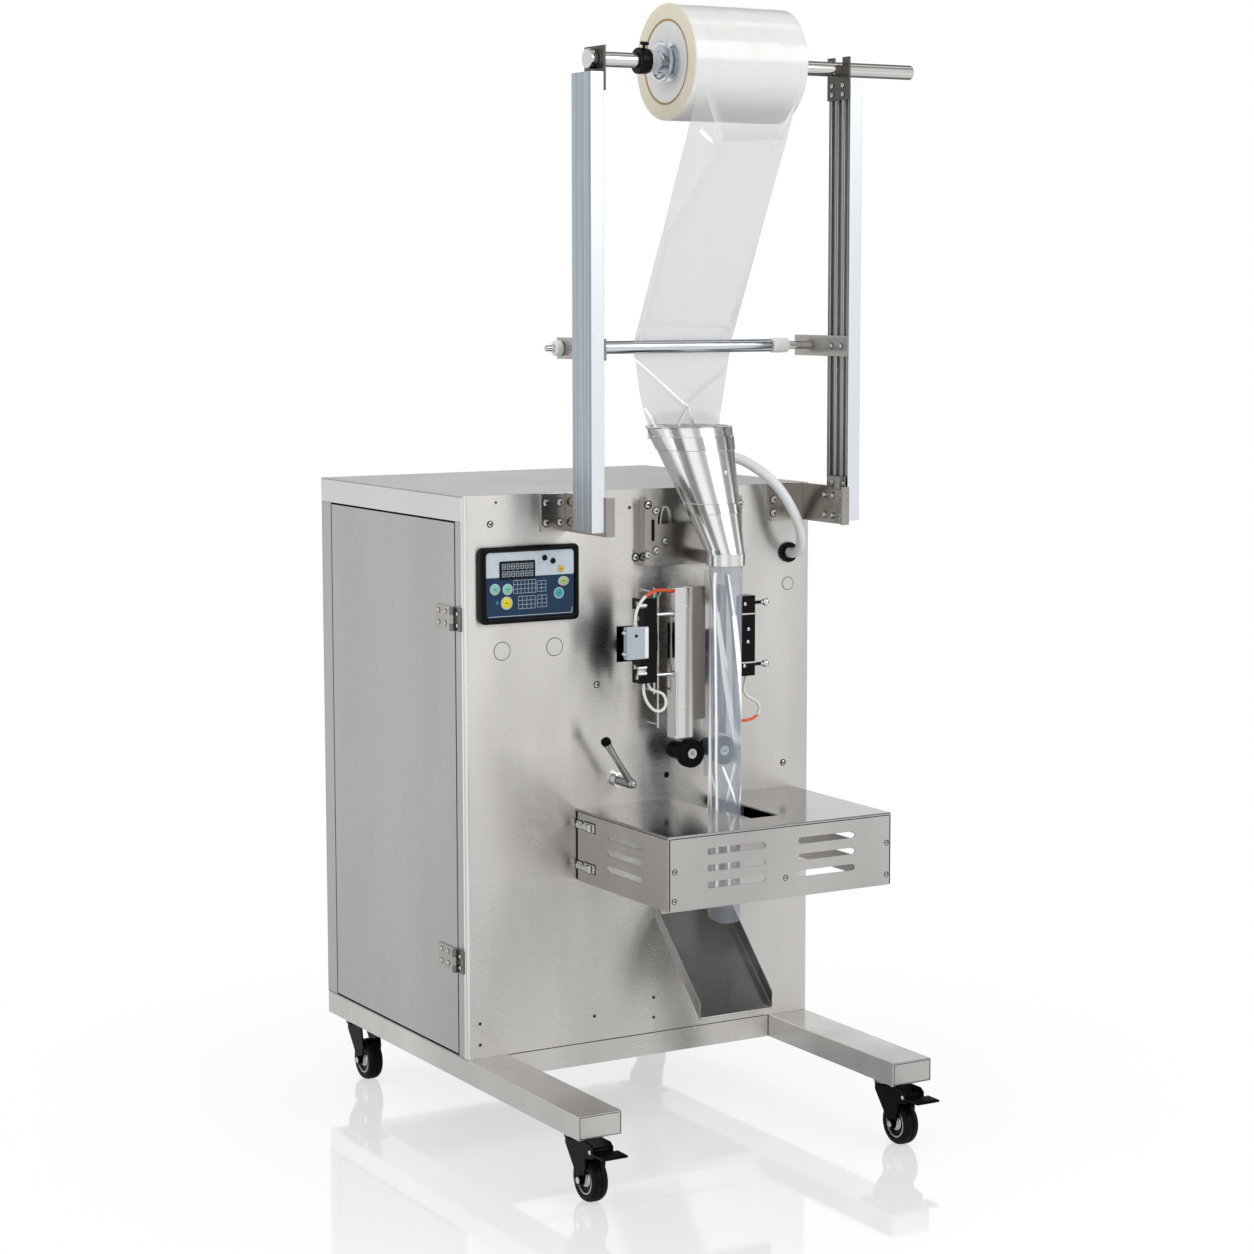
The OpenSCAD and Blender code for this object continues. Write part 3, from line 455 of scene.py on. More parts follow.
class Desk:
    """A node tree with one way to add a node."""

    def __init__(self, tree: Any) -> None:
        """Empties the tree and keeps it."""
        self.tree = tree
        self.tree.nodes.clear()

    def node(self, kind: str, settings: dict[str, Any] | None = None,
             values: dict[Any, Any] | None = None, out: Any = 0) -> Socket:
        """Adds a node.

        Args:
            kind: the node's type, without the ShaderNode before it.
            settings: its properties, set first; "stops" fills a colour ramp.
            values: what its sockets hold or are linked to, by name or number.
            out: the output that is wanted, by name or number.

        Returns:
            That output.
        """
        new = self.tree.nodes.new("ShaderNode" + kind)
        for name, value in (settings or {}).items():
            if name == "stops":
                self.fill_ramp(new.color_ramp, value)
            else:
                setattr(new, name, value)
        for name, value in (values or {}).items():
            if isinstance(value, Socket):
                self.tree.links.new(value.output, new.inputs[name])
            else:
                new.inputs[name].default_value = value
        return Socket(self, new.outputs[out] if new.outputs else None)

    @staticmethod
    def fill_ramp(ramp: Any, stops: Sequence[tuple[float, Colour]]) -> None:
        """Sets a ramp's two end stops and then puts the others between them."""
        for element, (place, colour) in zip(ramp.elements, (stops[0], stops[-1])):
            element.position = place
            element.color = (*colour, 1.0)
        for place, colour in stops[1:-1]:
            ramp.elements.new(place).color = (*colour, 1.0)

    def ray(self, kind: str) -> Socket:
        """Returns 1 on rays of a kind, Camera or Glossy, and 0 on others."""
        return self.node("LightPath", out="Is " + kind + " Ray")

    def part(self, axis: str, vector: Socket | None = None) -> Socket:
        """Returns the X, Y or Z of a vector, or of the Object coordinates in metres."""
        source = vector or self.node("TexCoord", out="Object")
        return self.node("SeparateXYZ", None, {0: source}, axis)

    def coordinates(self, scale: Point = (1.0, 1.0, 1.0),
                    shift: Point = (0.0, 0.0, 0.0)) -> Socket:
        """Returns Object coordinates in metres, scaled and then shifted."""
        place = self.node("TexCoord", out="Object")
        return self.node("Mapping", {"vector_type": "POINT"},
                         {"Vector": place, "Scale": scale, "Location": shift})

    def noise(self, scale: Any, detail: float = 3.0, rough: float = 0.6,
              shift: Point = (0.0, 0.0, 0.0)) -> Socket:
        """Fractal noise on Object coordinates.

        Args:
            scale: its frequency per metre, one float or one for each of x, y and z.
            detail: its octaves.
            rough: how strong the fine octaves are.
            shift: an offset in the scaled pattern.

        Returns:
            The noise, about 0.5 on average.
        """
        even = isinstance(scale, float)
        return self.node("TexNoise", None, {
            "Vector": self.coordinates((1.0, 1.0, 1.0) if even else scale, shift),
            "Scale": scale if even else 1.0, "Detail": detail, "Roughness": rough})

    def blend(self, factor: Any, first: Any, second: Any) -> Socket:
        """Mixes two colours or sockets: the first where the factor is 0, the second at 1."""
        wide = [(*c, 1.0) if isinstance(c, tuple) and len(c) == 3 else c for c in (first, second)]
        return self.node("Mix", {"data_type": "RGBA"}, {0: factor, 6: wide[0], 7: wide[1]}, 2)

    def bump(self, height: Socket, strength: float, distance: float) -> Socket:
        """Returns the normal of a height, where a height of 1 is a distance in metres."""
        return self.node("Bump", None,
                         {"Height": height, "Strength": strength, "Distance": distance})

    def skin(self, **values: Any) -> None:
        """Ends the tree with a Principled shader.

        Args:
            values: its sockets by name, with _ for a space.
        """
        named = {name.replace("_", " "): (*value, 1.0) if isinstance(value, tuple) else value
                 for name, value in values.items()}
        shader = self.node("BsdfPrincipled", None, named)
        self.node("OutputMaterial", None, {"Surface": shader})


def shade(colour: Colour, factor: float) -> Colour:
    """Returns a colour made lighter or darker by a factor, kept under 1."""
    return tuple(min(1.0, part * factor) for part in colour)


@dataclass(frozen=True)
class Finish:
    """A surface that a piece can have, and the material slot that it mostly goes with."""

    slot = "zinc"
    name: str
    colour: Colour
    rough: float

    def dress(self, desk: Desk) -> None:
        """Builds the node tree; each kind of finish has its own."""
        raise NotImplementedError

    def material(self) -> Any:
        """Returns the material of this finish, made once."""
        found = bpy.data.materials.get(self.name)
        if found is None:
            found = bpy.data.materials.new(self.name)
            found.use_nodes = True
            found.diffuse_color = (*self.colour, 1.0)
            self.dress(Desk(found.node_tree))
        return found


@dataclass(frozen=True)
class Metal(Finish):
    """Bare metal: brushed lines, faint handling marks and slow drifts of tone."""

    grain: Grain = Grain.NONE
    lines: float = 0.10
    drift: float = 0.06
    relief: float = 0.00002
    sweep: float = 0.08
    smear: float = 0.0

    def dress(self, desk: Desk) -> None:
        """Lines are noise stretched along the grain; the drift is a slow noise in x, y, z.

        Flat brushed sheet has smear, which draws its reflections out upright.
        """
        lines = desk.noise(self.grain.value, 4.0, 0.65)
        cloud = desk.noise((4.0, 4.0, 1.0), 3.0, 0.5)
        wipe = desk.noise((6.0, 6.0, 2.0), 5.0, 0.6, (3.0, 1.0, 2.0))
        tone = (lines - 0.5) * (2 * self.lines) + (cloud - 0.5) * (4 * self.drift) + 0.5
        colour = desk.blend(tone, shade(self.colour, 0.72), shade(self.colour, 1.28))
        rough = (lines - 0.5) * self.sweep + (wipe - 0.5) * 0.14 + self.rough
        desk.skin(Base_Color=colour, Metallic=1.0, Roughness=rough, Anisotropic=self.smear,
                  Anisotropic_Rotation=0.25, Normal=desk.bump(lines, 0.35, self.relief))


@dataclass(frozen=True)
class Coating(Finish):
    """Paint, plastic or rubber: a fine texture and slight variation."""

    slot = "black_plastic"
    speckle: float = 700.0
    relief: float = 0.00006
    varied: float = 0.12
    gloss: float = 0.0
    shine: float = 0.5

    def dress(self, desk: Desk) -> None:
        """Orange peel is noise at the speckle's scale; the tone follows a slower noise."""
        fine = desk.noise(self.speckle, 2.0, 0.5)
        slow = desk.noise(22.0, 4.0, 0.6)
        tone = (slow - 0.5) * 2.0 + 0.5
        colour = desk.blend(tone, shade(self.colour, 1 - self.varied),
                            shade(self.colour, 1 + self.varied))
        rough = (slow - 0.5) * 0.25 + self.rough
        desk.skin(Base_Color=colour, Roughness=rough, Coat_Weight=self.gloss,
                  Specular_IOR_Level=self.shine, Normal=desk.bump(fine, 0.5, self.relief))


@dataclass(frozen=True)
class Extrusion(Finish):
    """Anodised posts, blue grey, with painted light on the front, the corners and the slots."""

    pale: Colour = (0.84, 0.88, 0.92)
    groove_shade: Colour = (0.20, 0.20, 0.20)
    right_x: float = 0.2

    def dress(self, desk: Desk) -> None:
        """The normal tells the front face, the place across tells the right post."""
        streaks = desk.noise((130.0, 130.0, 0.8), 3.0, 0.6)
        lines = desk.noise((1.0, 330.0, 0.6), 2.0, 0.5)
        ahead = desk.part("Y", desk.node("NewGeometry", out="Normal")) * -1.0
        right = desk.part("X").above(self.right_x, self.right_x + 0.01)
        side = desk.blend(streaks.above(0.32, 0.68), shade(self.colour, 0.70),
                          shade(self.colour, 1.12))
        # Painted highlight: white where the rounded corners turn from side to front.
        corner = ahead.above(0.15, 0.4) * (1.0 - ahead.above(0.8, 0.97))
        # Painted shade in the right post's slots: dark stripes.
        dark = desk.blend(lines.above(0.35, 0.62), shade(self.groove_shade, 0.15),
                          shade(self.groove_shade, 1.9))
        # Painted light: the front face is pale as if lit, the sides blue grey.
        colour = desk.blend(ahead.above(0.6, 0.9), desk.blend(right, side, dark), self.pale)
        colour = desk.blend(corner, colour, (1.0, 1.0, 1.0))
        desk.skin(Base_Color=colour, Metallic=1.0, Roughness=self.rough,
                  Normal=desk.bump(streaks, 0.3, 0.00003))


@dataclass(frozen=True)
class PlasticFilm(Finish):
    """Clear packing film, with painted light on its folds as crisp lines."""

    slot = "film"
    cover: float = 0.55
    swing: float = 0.06
    stretch: Point = (9.0, 9.0, 3.0)
    folds: tuple[Point, ...] = ()
    fades: float = 9.0

    def fold(self, desk: Desk, start: Point, end: Point, width: float) -> Socket:
        """The light on one fold: 1 on its line, fading to 0 over its width on one side.

        With d the signed distance from the line and s the place along it,
        fold = step(d) * (1 - smooth(d / width)) * inside(s).

        Args:
            desk: the material's tree.
            start: x and z where the fold starts, in machine millimetres.
            end: x and z where it ends.
            width: how wide it fades.

        Returns:
            The light, 0 to 1.
        """
        (x0, z0), (x1, z1) = start, end
        x = desk.part("X") * 1000.0 + (ROW_ORIGIN[0] - x0)
        z = desk.part("Z") * 1000.0 - z0
        run = math.hypot(x1 - x0, z1 - z0)
        ux, uz = (x1 - x0) / run, (z1 - z0) / run
        along, off = x * ux + z * uz, x * -uz + z * ux
        inside = along.above(-3.0, 3.0) * (1.0 - along.above(run - 12.0, run + 12.0))
        return off.above(0.0, 1.2) * (1.0 - off.above(0.6, width)) * inside

    def dress(self, desk: Desk) -> None:
        """A positive fold is a whiter, denser painted highlight; a negative one is darker painted
        shade.
        """
        cloud = desk.noise(self.stretch, 3.0, 0.5)
        light: Any = (cloud - 0.5) * 0.2
        cover: Any = (cloud - 0.5) * (2 * self.swing) + self.cover
        for x0, z0, x1, z1, width, weight in self.folds:
            strip = self.fold(desk, (x0, z0), (x1, z1), width)
            light = light + strip * weight
            cover = cover + strip * (abs(weight) * 0.8)
        high = desk.part("Z").above(self.fades, self.fades + 0.05)
        deep = desk.blend(light * -1.0, self.colour, shade(self.colour, 0.45))
        deep = desk.blend(high, deep, (0.95, 0.95, 0.95))
        colour = desk.blend(light, deep, (1.0, 1.0, 1.0))
        # Bright folds glow a little: a painted highlight.
        painted_glint = desk.blend(light.above(0.15, 1.2), (0.0, 0.0, 0.0), (1.0, 1.0, 1.0))
        cover = cover * (1.0 - high * 0.45)
        desk.skin(Base_Color=colour, Roughness=(cloud - 0.5) * 0.1 + self.rough,
                  Alpha=cover.maths("MINIMUM", cover, 1.0), IOR=1.5,
                  Emission_Color=painted_glint, Emission_Strength=0.3,
                  Normal=desk.bump(cloud, 0.3, 0.0008))


@dataclass(frozen=True)
class WoundFilm(Finish):
    """The film on the roll: rings on its ends and faint lines round its outside."""

    slot = "film"
    edge: Colour = (0.80, 0.74, 0.60)
    axis_y: float = -0.173
    axis_z: float = 1.827
    outer: float = 0.0945

    def dress(self, desk: Desk) -> None:
        """The distance from the reel's axis gives the rings; past outer it is the skin."""
        centred = desk.coordinates(shift=(0.0, -self.axis_y, -self.axis_z))
        flat = desk.node("VectorMath", {"operation": "MULTIPLY"},
                         {0: centred, 1: (0.0, 1.0, 1.0)})
        far = desk.node("VectorMath", {"operation": "LENGTH"}, {0: flat}, "Value")
        rings = desk.node("TexNoise", {"noise_dimensions": "1D"},
                          {"W": far * 1400.0, "Detail": 3.0, "Roughness": 0.7})
        outside = far.above(self.outer, self.outer + 0.0012)
        bands = desk.noise((60.0, 6.0, 6.0), 4.0, 0.6)
        end = desk.blend(rings, shade(self.edge, 0.9), shade(self.edge, 1.15))
        skin = desk.blend(bands, shade(self.colour, 0.94), shade(self.colour, 1.04))
        desk.skin(Base_Color=desk.blend(outside, end, skin),
                  Roughness=(1 - outside) * 0.35 + self.rough,
                  Coat_Weight=outside * 0.5,
                  Normal=desk.bump(rings * (1 - outside) + bands * outside, 0.3, 0.0004))


@dataclass(frozen=True)
class Sleeved(Finish):
    """A wire that wears a coloured sleeve on one side of a plane across x or z."""

    slot = "white_plastic"
    sleeve: Colour = (0.90, 0.10, 0.02)
    border: float = 0.0
    axis: str = "X"

    def dress(self, desk: Desk) -> None:
        """Past the border the sleeve's colour takes over, with a fine braid on it."""
        past = desk.part(self.axis).above(self.border - 0.0004, self.border + 0.0004)
        weave = desk.noise(900.0, 2.0, 0.5)
        plain = desk.blend(weave, shade(self.colour, 0.92), self.colour)
        dyed = desk.blend(weave, shade(self.sleeve, 0.8), shade(self.sleeve, 1.1))
        desk.skin(Base_Color=desk.blend(past, plain, dyed), Roughness=self.rough,
                  Normal=desk.bump(weave, 0.4, 0.0001))


@dataclass(frozen=True)
class PaintedGlowFace(Finish):
    """A moulded key, face, print or window with a small painted glow, though it is no lamp."""

    slot = "white_plastic"
    glow: float = 0.0

    def dress(self, desk: Desk) -> None:
        """The tone drifts with a slow noise; the glow, a small constant emission, is painted light.
        """
        slow = desk.noise(90.0, 3.0, 0.5)
        colour = desk.blend(slow, shade(self.colour, 0.85), shade(self.colour, 1.15))
        desk.skin(Base_Color=colour, Roughness=self.rough,
                  Emission_Color=colour, Emission_Strength=self.glow,
                  Specular_IOR_Level=0.2)


class Look:
    """Every finish of the machine, by the maker's plain name for it."""

    PANEL = Metal("panel_steel", (0.61, 0.592, 0.57), 0.27, Grain.ACROSS, 0.025, 0.45,
                  0.00001, 0.05, 0.9)
    # Near white steel for the corner beads: the bend's painted highlight.
    BEND_HIGHLIGHT = Metal("bend_highlight_steel", (0.95, 0.945, 0.935), 0.24, Grain.NONE, 0.03, 0.03)
    HINGE = Metal("hinge_steel", (0.20, 0.195, 0.19), 0.22, Grain.NONE, 0.10)
    # Door steel: the cabinet's steel made darker, painted shade on the left side's door and posts.
    SHADED_DOOR_STEEL = Metal("shaded_door_steel", (0.44, 0.43, 0.42), 0.27, Grain.UPRIGHT, 0.03, 0.18,
                 0.000014, smear=0.8)
    SIDE = Metal("side_steel", (0.70, 0.685, 0.67), 0.30, Grain.DEEP, 0.04)
    # Top steel: the cabinet's steel made darker, painted shade on the top cover and floor plate.
    SHADED_LEVEL_STEEL = Metal("top_steel", (0.44, 0.43, 0.42), 0.30, Grain.ACROSS, 0.04)
    LEG = Metal("leg_steel", (0.60, 0.585, 0.565), 0.24, Grain.DEEP, 0.03, 0.45)
    GUARD = Metal("guard_steel", (0.52, 0.505, 0.49), 0.26, Grain.ACROSS, 0.02, 0.30,
                  0.000007, 0.03, 0.8)
    LID = Metal("guard_top_steel", (0.40, 0.39, 0.38), 0.11, Grain.ACROSS, 0.03)
    CHUTE = Metal("chute_steel", (0.46, 0.455, 0.45), 0.16, Grain.DEEP, 0.03, 0.60, smear=0.7)
    # Chrome painted dark grey: a painted dark reflection on the hand lever.
    DARKENED_CHROME = Metal("chrome_painted_dark", (0.36, 0.36, 0.36), 0.07, Grain.NONE, 0.03, 0.02)
    RIM = Metal("rim_zinc", (0.84, 0.84, 0.83), 0.38, Grain.NONE, 0.04)
    BRACKET = Metal("bracket_steel", (0.40, 0.38, 0.355), 0.17, Grain.UPRIGHT, 0.08, 0.30)
    BRIGHT = Metal("bright_steel", (0.70, 0.69, 0.68), 0.09, Grain.NONE, 0.05)
    SHAFT = Metal("shaft_steel", (0.70, 0.68, 0.66), 0.09, Grain.ACROSS, 0.04, 0.04, 0.000005)
    CHROME = Metal("polished_chrome", (0.86, 0.86, 0.86), 0.06, Grain.NONE, 0.03, 0.02)
    FUNNEL = Metal("funnel_steel", (0.84, 0.835, 0.83), 0.21, Grain.NONE, 0.02, 0.03, 0.000002)
    BAND = Metal("funnel_band", (0.80, 0.795, 0.79), 0.13, Grain.NONE, 0.02, 0.03, 0.000002)
    ZINC = Metal("zinc_plate", (0.66, 0.70, 0.74), 0.17, Grain.NONE, 0.08)
    DARK = Metal("dark_bracket_steel", (0.10, 0.094, 0.088), 0.30, Grain.NONE, 0.14)
    BRONZE = Metal("worn_plate", (0.42, 0.375, 0.33), 0.34, Grain.UPRIGHT, 0.16)
    POST = Extrusion("anodised_post", (0.46, 0.52, 0.575), 0.34)
    BLOCK = Metal("anodised_block", (0.50, 0.56, 0.62), 0.30, Grain.UPRIGHT, 0.10)
    BLACK = Coating("black_paint", (0.002, 0.002, 0.0024), 0.24, 500.0, 0.00002, shine=0.06)
    PLASTIC = Coating("black_moulding", (0.0025, 0.0025, 0.003), 0.22, 900.0, 0.00001, shine=0.12)
    TYRE = Coating("tyre_rubber", (0.004, 0.004, 0.0045), 0.38, 1200.0, 0.00003, shine=0.10)
    RUBBER = Coating("roller_rubber", (0.009, 0.0095, 0.011), 0.45, 1400.0, 0.00004, shine=0.06)
    # Near black that paints shade in holes, slots, under screw heads and on the guard; also leg
    # joints.
    SHADE_AND_JOINT_BLACK = Coating("shade_and_joint_black", (0.004, 0.004, 0.004), 0.7, 900.0, shine=0.1)
    WHITE = Coating("white_moulding", (0.86, 0.86, 0.84), 0.34, 700.0, varied=0.04)
    MILK = Coating("milky_nylon", (0.80, 0.82, 0.80), 0.30, 700.0, varied=0.05)
    CORE = Coating("card_core", (0.42, 0.27, 0.12), 0.6, 900.0)
    HOSE = Coating("milky_hose", (0.80, 0.82, 0.83), 0.22, 400.0, varied=0.05, gloss=0.3)
    LEAD = Coating("white_lead", (0.84, 0.83, 0.80), 0.42, 900.0, varied=0.05)
    RIGHT_LEAD = Sleeved("tied_lead", (0.90, 0.10, 0.02), 0.42, sleeve=(0.84, 0.83, 0.80),
                         border=0.7125, axis="Z")
    UPPER_LEAD = Sleeved("sleeved_lead", (0.84, 0.83, 0.80), 0.42, border=-0.109)
    # Film folds (x0, z0, x1, z1, width, weight): weight > 0 a painted highlight, < 0 painted shade.
    WEB = PlasticFilm("web_film", (0.60, 0.605, 0.625), 0.16, fades=1.735, folds=(
        (338, 1336, 446, 1251, 5.5, 2.2), (360, 1248, 395, 1206, 12, 1.2),
        (443, 1216, 449, 1250, 9, 1.4), (449, 1250, 464, 1216, 9, 1.0),
        (407, 1695, 529, 1702, 44, -0.18), (407, 1695, 352, 1554, 30, 0.3),
        (354, 1778, 407, 1695, 20, 0.35), (540, 1770, 508, 1690, 18, 0.5),
        (362, 1712, 392, 1692, 12, 1.0), (540, 1640, 522, 1380, 24, 0.35),
        (352, 1540, 352, 1372, 14, 0.22), (336, 1392, 545, 1384, 12, 0.2),
        (521, 1232, 513, 1200, 6, 0.9), (446, 1251, 530, 1310, 16, -0.16)))
    TUBE = PlasticFilm("tube_film", (0.44, 0.495, 0.57), 0.08, cover=0.38, swing=0.16,
                       stretch=(26.0, 26.0, 2.0), folds=(
        (441, 900, 470, 670, 13, 1.8), (431, 972, 462, 800, 6, 1.3),
        (427, 972, 446, 820, 11, -1.0), (440, 820, 452, 700, 16, -0.7),
        (416, 975, 418, 400, 5, 1.1), (474, 975, 476, 420, 5, 1.2), (466, 900, 470, 640, 8, -0.8),
        (426, 640, 445, 580, 6, 1.4), (470, 640, 460, 575, 7, 1.4), (432, 560, 436, 420, 8, 0.9),
        (450, 560, 452, 420, 14, -0.6)))
    ROLL = WoundFilm("wound_film", (0.80, 0.80, 0.80), 0.14)
    # Keypad faces, keys, prints and window glow a little: painted light.
    SKY = PaintedGlowFace("pale_face", (0.56, 0.64, 0.70), 0.35)
    NAVY = PaintedGlowFace("navy_face", (0.014, 0.040, 0.088), 0.32)
    YELLOW = PaintedGlowFace("yellow_key", (0.80, 0.62, 0.02), 0.3)
    AMBER = PaintedGlowFace("amber_key", (0.75, 0.42, 0.02), 0.3)
    LIME = PaintedGlowFace("lime_key", (0.42, 0.50, 0.20), 0.3)
    MINT = PaintedGlowFace("mint_key", (0.22, 0.55, 0.42), 0.3)
    TEAL = PaintedGlowFace("teal_key", (0.03, 0.38, 0.42), 0.3)
    BLUE = PaintedGlowFace("blue_dot", (0.02, 0.22, 0.50), 0.3)
    PALE = PaintedGlowFace("pale_print", (0.45, 0.50, 0.55), 0.45)
    GLASS = PaintedGlowFace("display_window", (0.02, 0.03, 0.04), 0.12)


# Building: shells into pieces that ride on the frame's bodies


def linked(name: str, data: Any) -> Any:
    """Returns a new object with the data, linked to the scene."""
    thing = bpy.data.objects.new(name, data)
    bpy.context.scene.collection.objects.link(thing)
    return thing


@dataclass
class Workshop:
    """Makes the pieces, gives them their body and finish, and reports each one."""

    frame: dict[str, Any]
    made: int = 0

    def __post_init__(self) -> None:
        """Reads the body that carries each node and the slot that it has."""
        record = self.frame["record"]
        self.carrier = {node: body for body, nodes in record["behaviour"]["bodies"].items()
                        for node in nodes}
        self.slots = {part["node"]: part["material_slot"] for part in record["subparts"]}

    def make(self, name: str, shells: Shell | Sequence[Shell], finish: Finish,
             body: str = "chassis", smooth_under: float = 32.0,
             replaces: Sequence[str] = (), closed: bool = True) -> Any:
        """Puts shells into a new object, in metres in the row frame.

        Args:
            name: the piece's name.
            shells: its surfaces in machine millimetres.
            finish: the look of them.
            body: the CAD body that it rides on.
            smooth_under: edges sharper than this many degrees stay sharp.
            replaces: CAD nodes that it stands for.
            closed: whether its normals are set to point outwards after merging doubles.

        Returns:
            The object.
        """
        shell = shells if isinstance(shells, Shell) else Shell.joined(shells)
        mesh = bpy.data.meshes.new(name)
        mesh.from_pydata(((shell.points - ROW_ORIGIN) * MM).tolist(), [],
                         [f for face in shell.faces for f in face.tolist()])
        form = bmesh.new()
        form.from_mesh(mesh)
        bmesh.ops.remove_doubles(form, verts=form.verts, dist=2e-6)
        if closed:
            bmesh.ops.recalc_face_normals(form, faces=form.faces)
        return self.hand_over(name, mesh, form, finish, smooth_under, body,
                              replaces)

    def hand_over(self, name: str, mesh: Any, form: Any, finish: Finish,
                  smooth_under: float, body: str, replaces: Sequence[str]) -> Any:
        """Fills a mesh, shades it smooth apart from its sharp edges, and links, attaches and logs
        its piece.

        Args:
            name: the piece's name.
            mesh: the new mesh.
            form: what goes into it, freed here.
            finish: the look of it.
            smooth_under: edges sharper than this many degrees stay sharp.
            body: the CAD body that it rides on.
            replaces: CAD nodes that it stands for.

        Returns:
            The object.
        """
        form.to_mesh(mesh)
        form.free()
        mesh.polygons.foreach_set("use_smooth", np.ones(len(mesh.polygons), bool))
        mesh.set_sharp_from_angle(angle=math.radians(smooth_under))
        mesh.materials.append(finish.material())
        mesh.update()
        piece = linked(name, mesh)
        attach(piece, body)
        if replaces:
            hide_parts(*replaces)
        self.made += 1
        LOG.info("%s on %s: %d faces, %s", name, body, len(mesh.polygons), finish.name)
        return piece

    def fasten(self, name: str, groups: Sequence[tuple], body: str = "chassis") -> None:
        """Makes bright screw heads and, in a second piece, the painted shade round and in them.

        Args:
            name: the name of the heads' piece.
            groups: the arguments of screws(), one tuple for each kind.
            body: the CAD body that they ride on.
        """
        self.make(name, [screws(*group) for group in groups], Look.BRIGHT, body)
        self.make(name + "_gaps", [shade_discs(*group) for group in groups], Look.SHADE_AND_JOINT_BLACK, body)

    def rounded(self, node: str, finish: Finish, width: float = 0.6, segments: int = 2) -> None:
        """Stands a copy of a CAD node with softened edges in its place.

        The copy's loose triangles are merged and its flat faces joined first; then every edge
        of more than 30 degrees is cut back by width and rounded.

        Args:
            node: the CAD node.
            finish: the surface.
            width: the rounding in millimetres.
            segments: faces across the rounding.
        """
        form = bmesh.new()
        form.from_mesh(self.frame["nodes"][node].data)
        bmesh.ops.remove_doubles(form, verts=form.verts, dist=1e-5)
        bmesh.ops.dissolve_limit(form, angle_limit=math.radians(0.6), verts=form.verts,
                                 edges=form.edges)
        sharp = [side for side in form.edges
                 if len(side.link_faces) == 2 and side.calc_face_angle() > math.radians(30)]
        bmesh.ops.bevel(form, geom=sharp, offset=width * MM, offset_type="OFFSET",
                        segments=segments, profile=0.5, clamp_overlap=True, affect="EDGES",
                        material=-1)
        name = node + "_dressed"
        piece = self.hand_over(name, bpy.data.meshes.new(name), form, finish, 28.0,
                               self.carrier[node], [node])
        even = piece.modifiers.new("even_faces", "WEIGHTED_NORMAL")
        even.keep_sharp = True
        even.weight = 100


@dataclass(frozen=True)
class Route:
    """A cord's facts and the points that it follows, as its solid does."""

    name: str
    node: str
    corner: Point
    steps: Sequence[Point]
    radius: float
    length: float

    def line(self, finer: int = 1) -> np.ndarray:
        """The route in machine millimetres.

        Args:
            finer: points on each step; more than 1 smooths it by a cubic through four points:
                0.5 * (2 b + (c - a) t + (2 a - 5 b + 4 c - d) t^2 + (3 b - a - 3 c + d) t^3).

        Returns:
            An array of shape (n, 3).
        """
        points = np.array(self.steps, float) + np.array(self.corner, float)
        if finer == 1:
            return points
        padded = np.concatenate([points[:1] * 2 - points[1:2], points,
                                 points[-1:] * 2 - points[-2:-1]])
        a, b, c, d = (padded[i:len(padded) - 3 + i, None, :] for i in range(4))
        t = (np.arange(finer) / finer)[None, :, None]
        curve = 0.5 * (2 * b + (c - a) * t + (2 * a - 5 * b + 4 * c - d) * t ** 2
                       + (3 * b - a - 3 * c + d) * t ** 3)
        return np.concatenate([curve.reshape(-1, 3), points[-1:]])

    def in_row(self) -> list[list[float]]:
        """Returns the route in metres in the row frame."""
        return ((self.line() - ROW_ORIGIN) * MM).tolist()


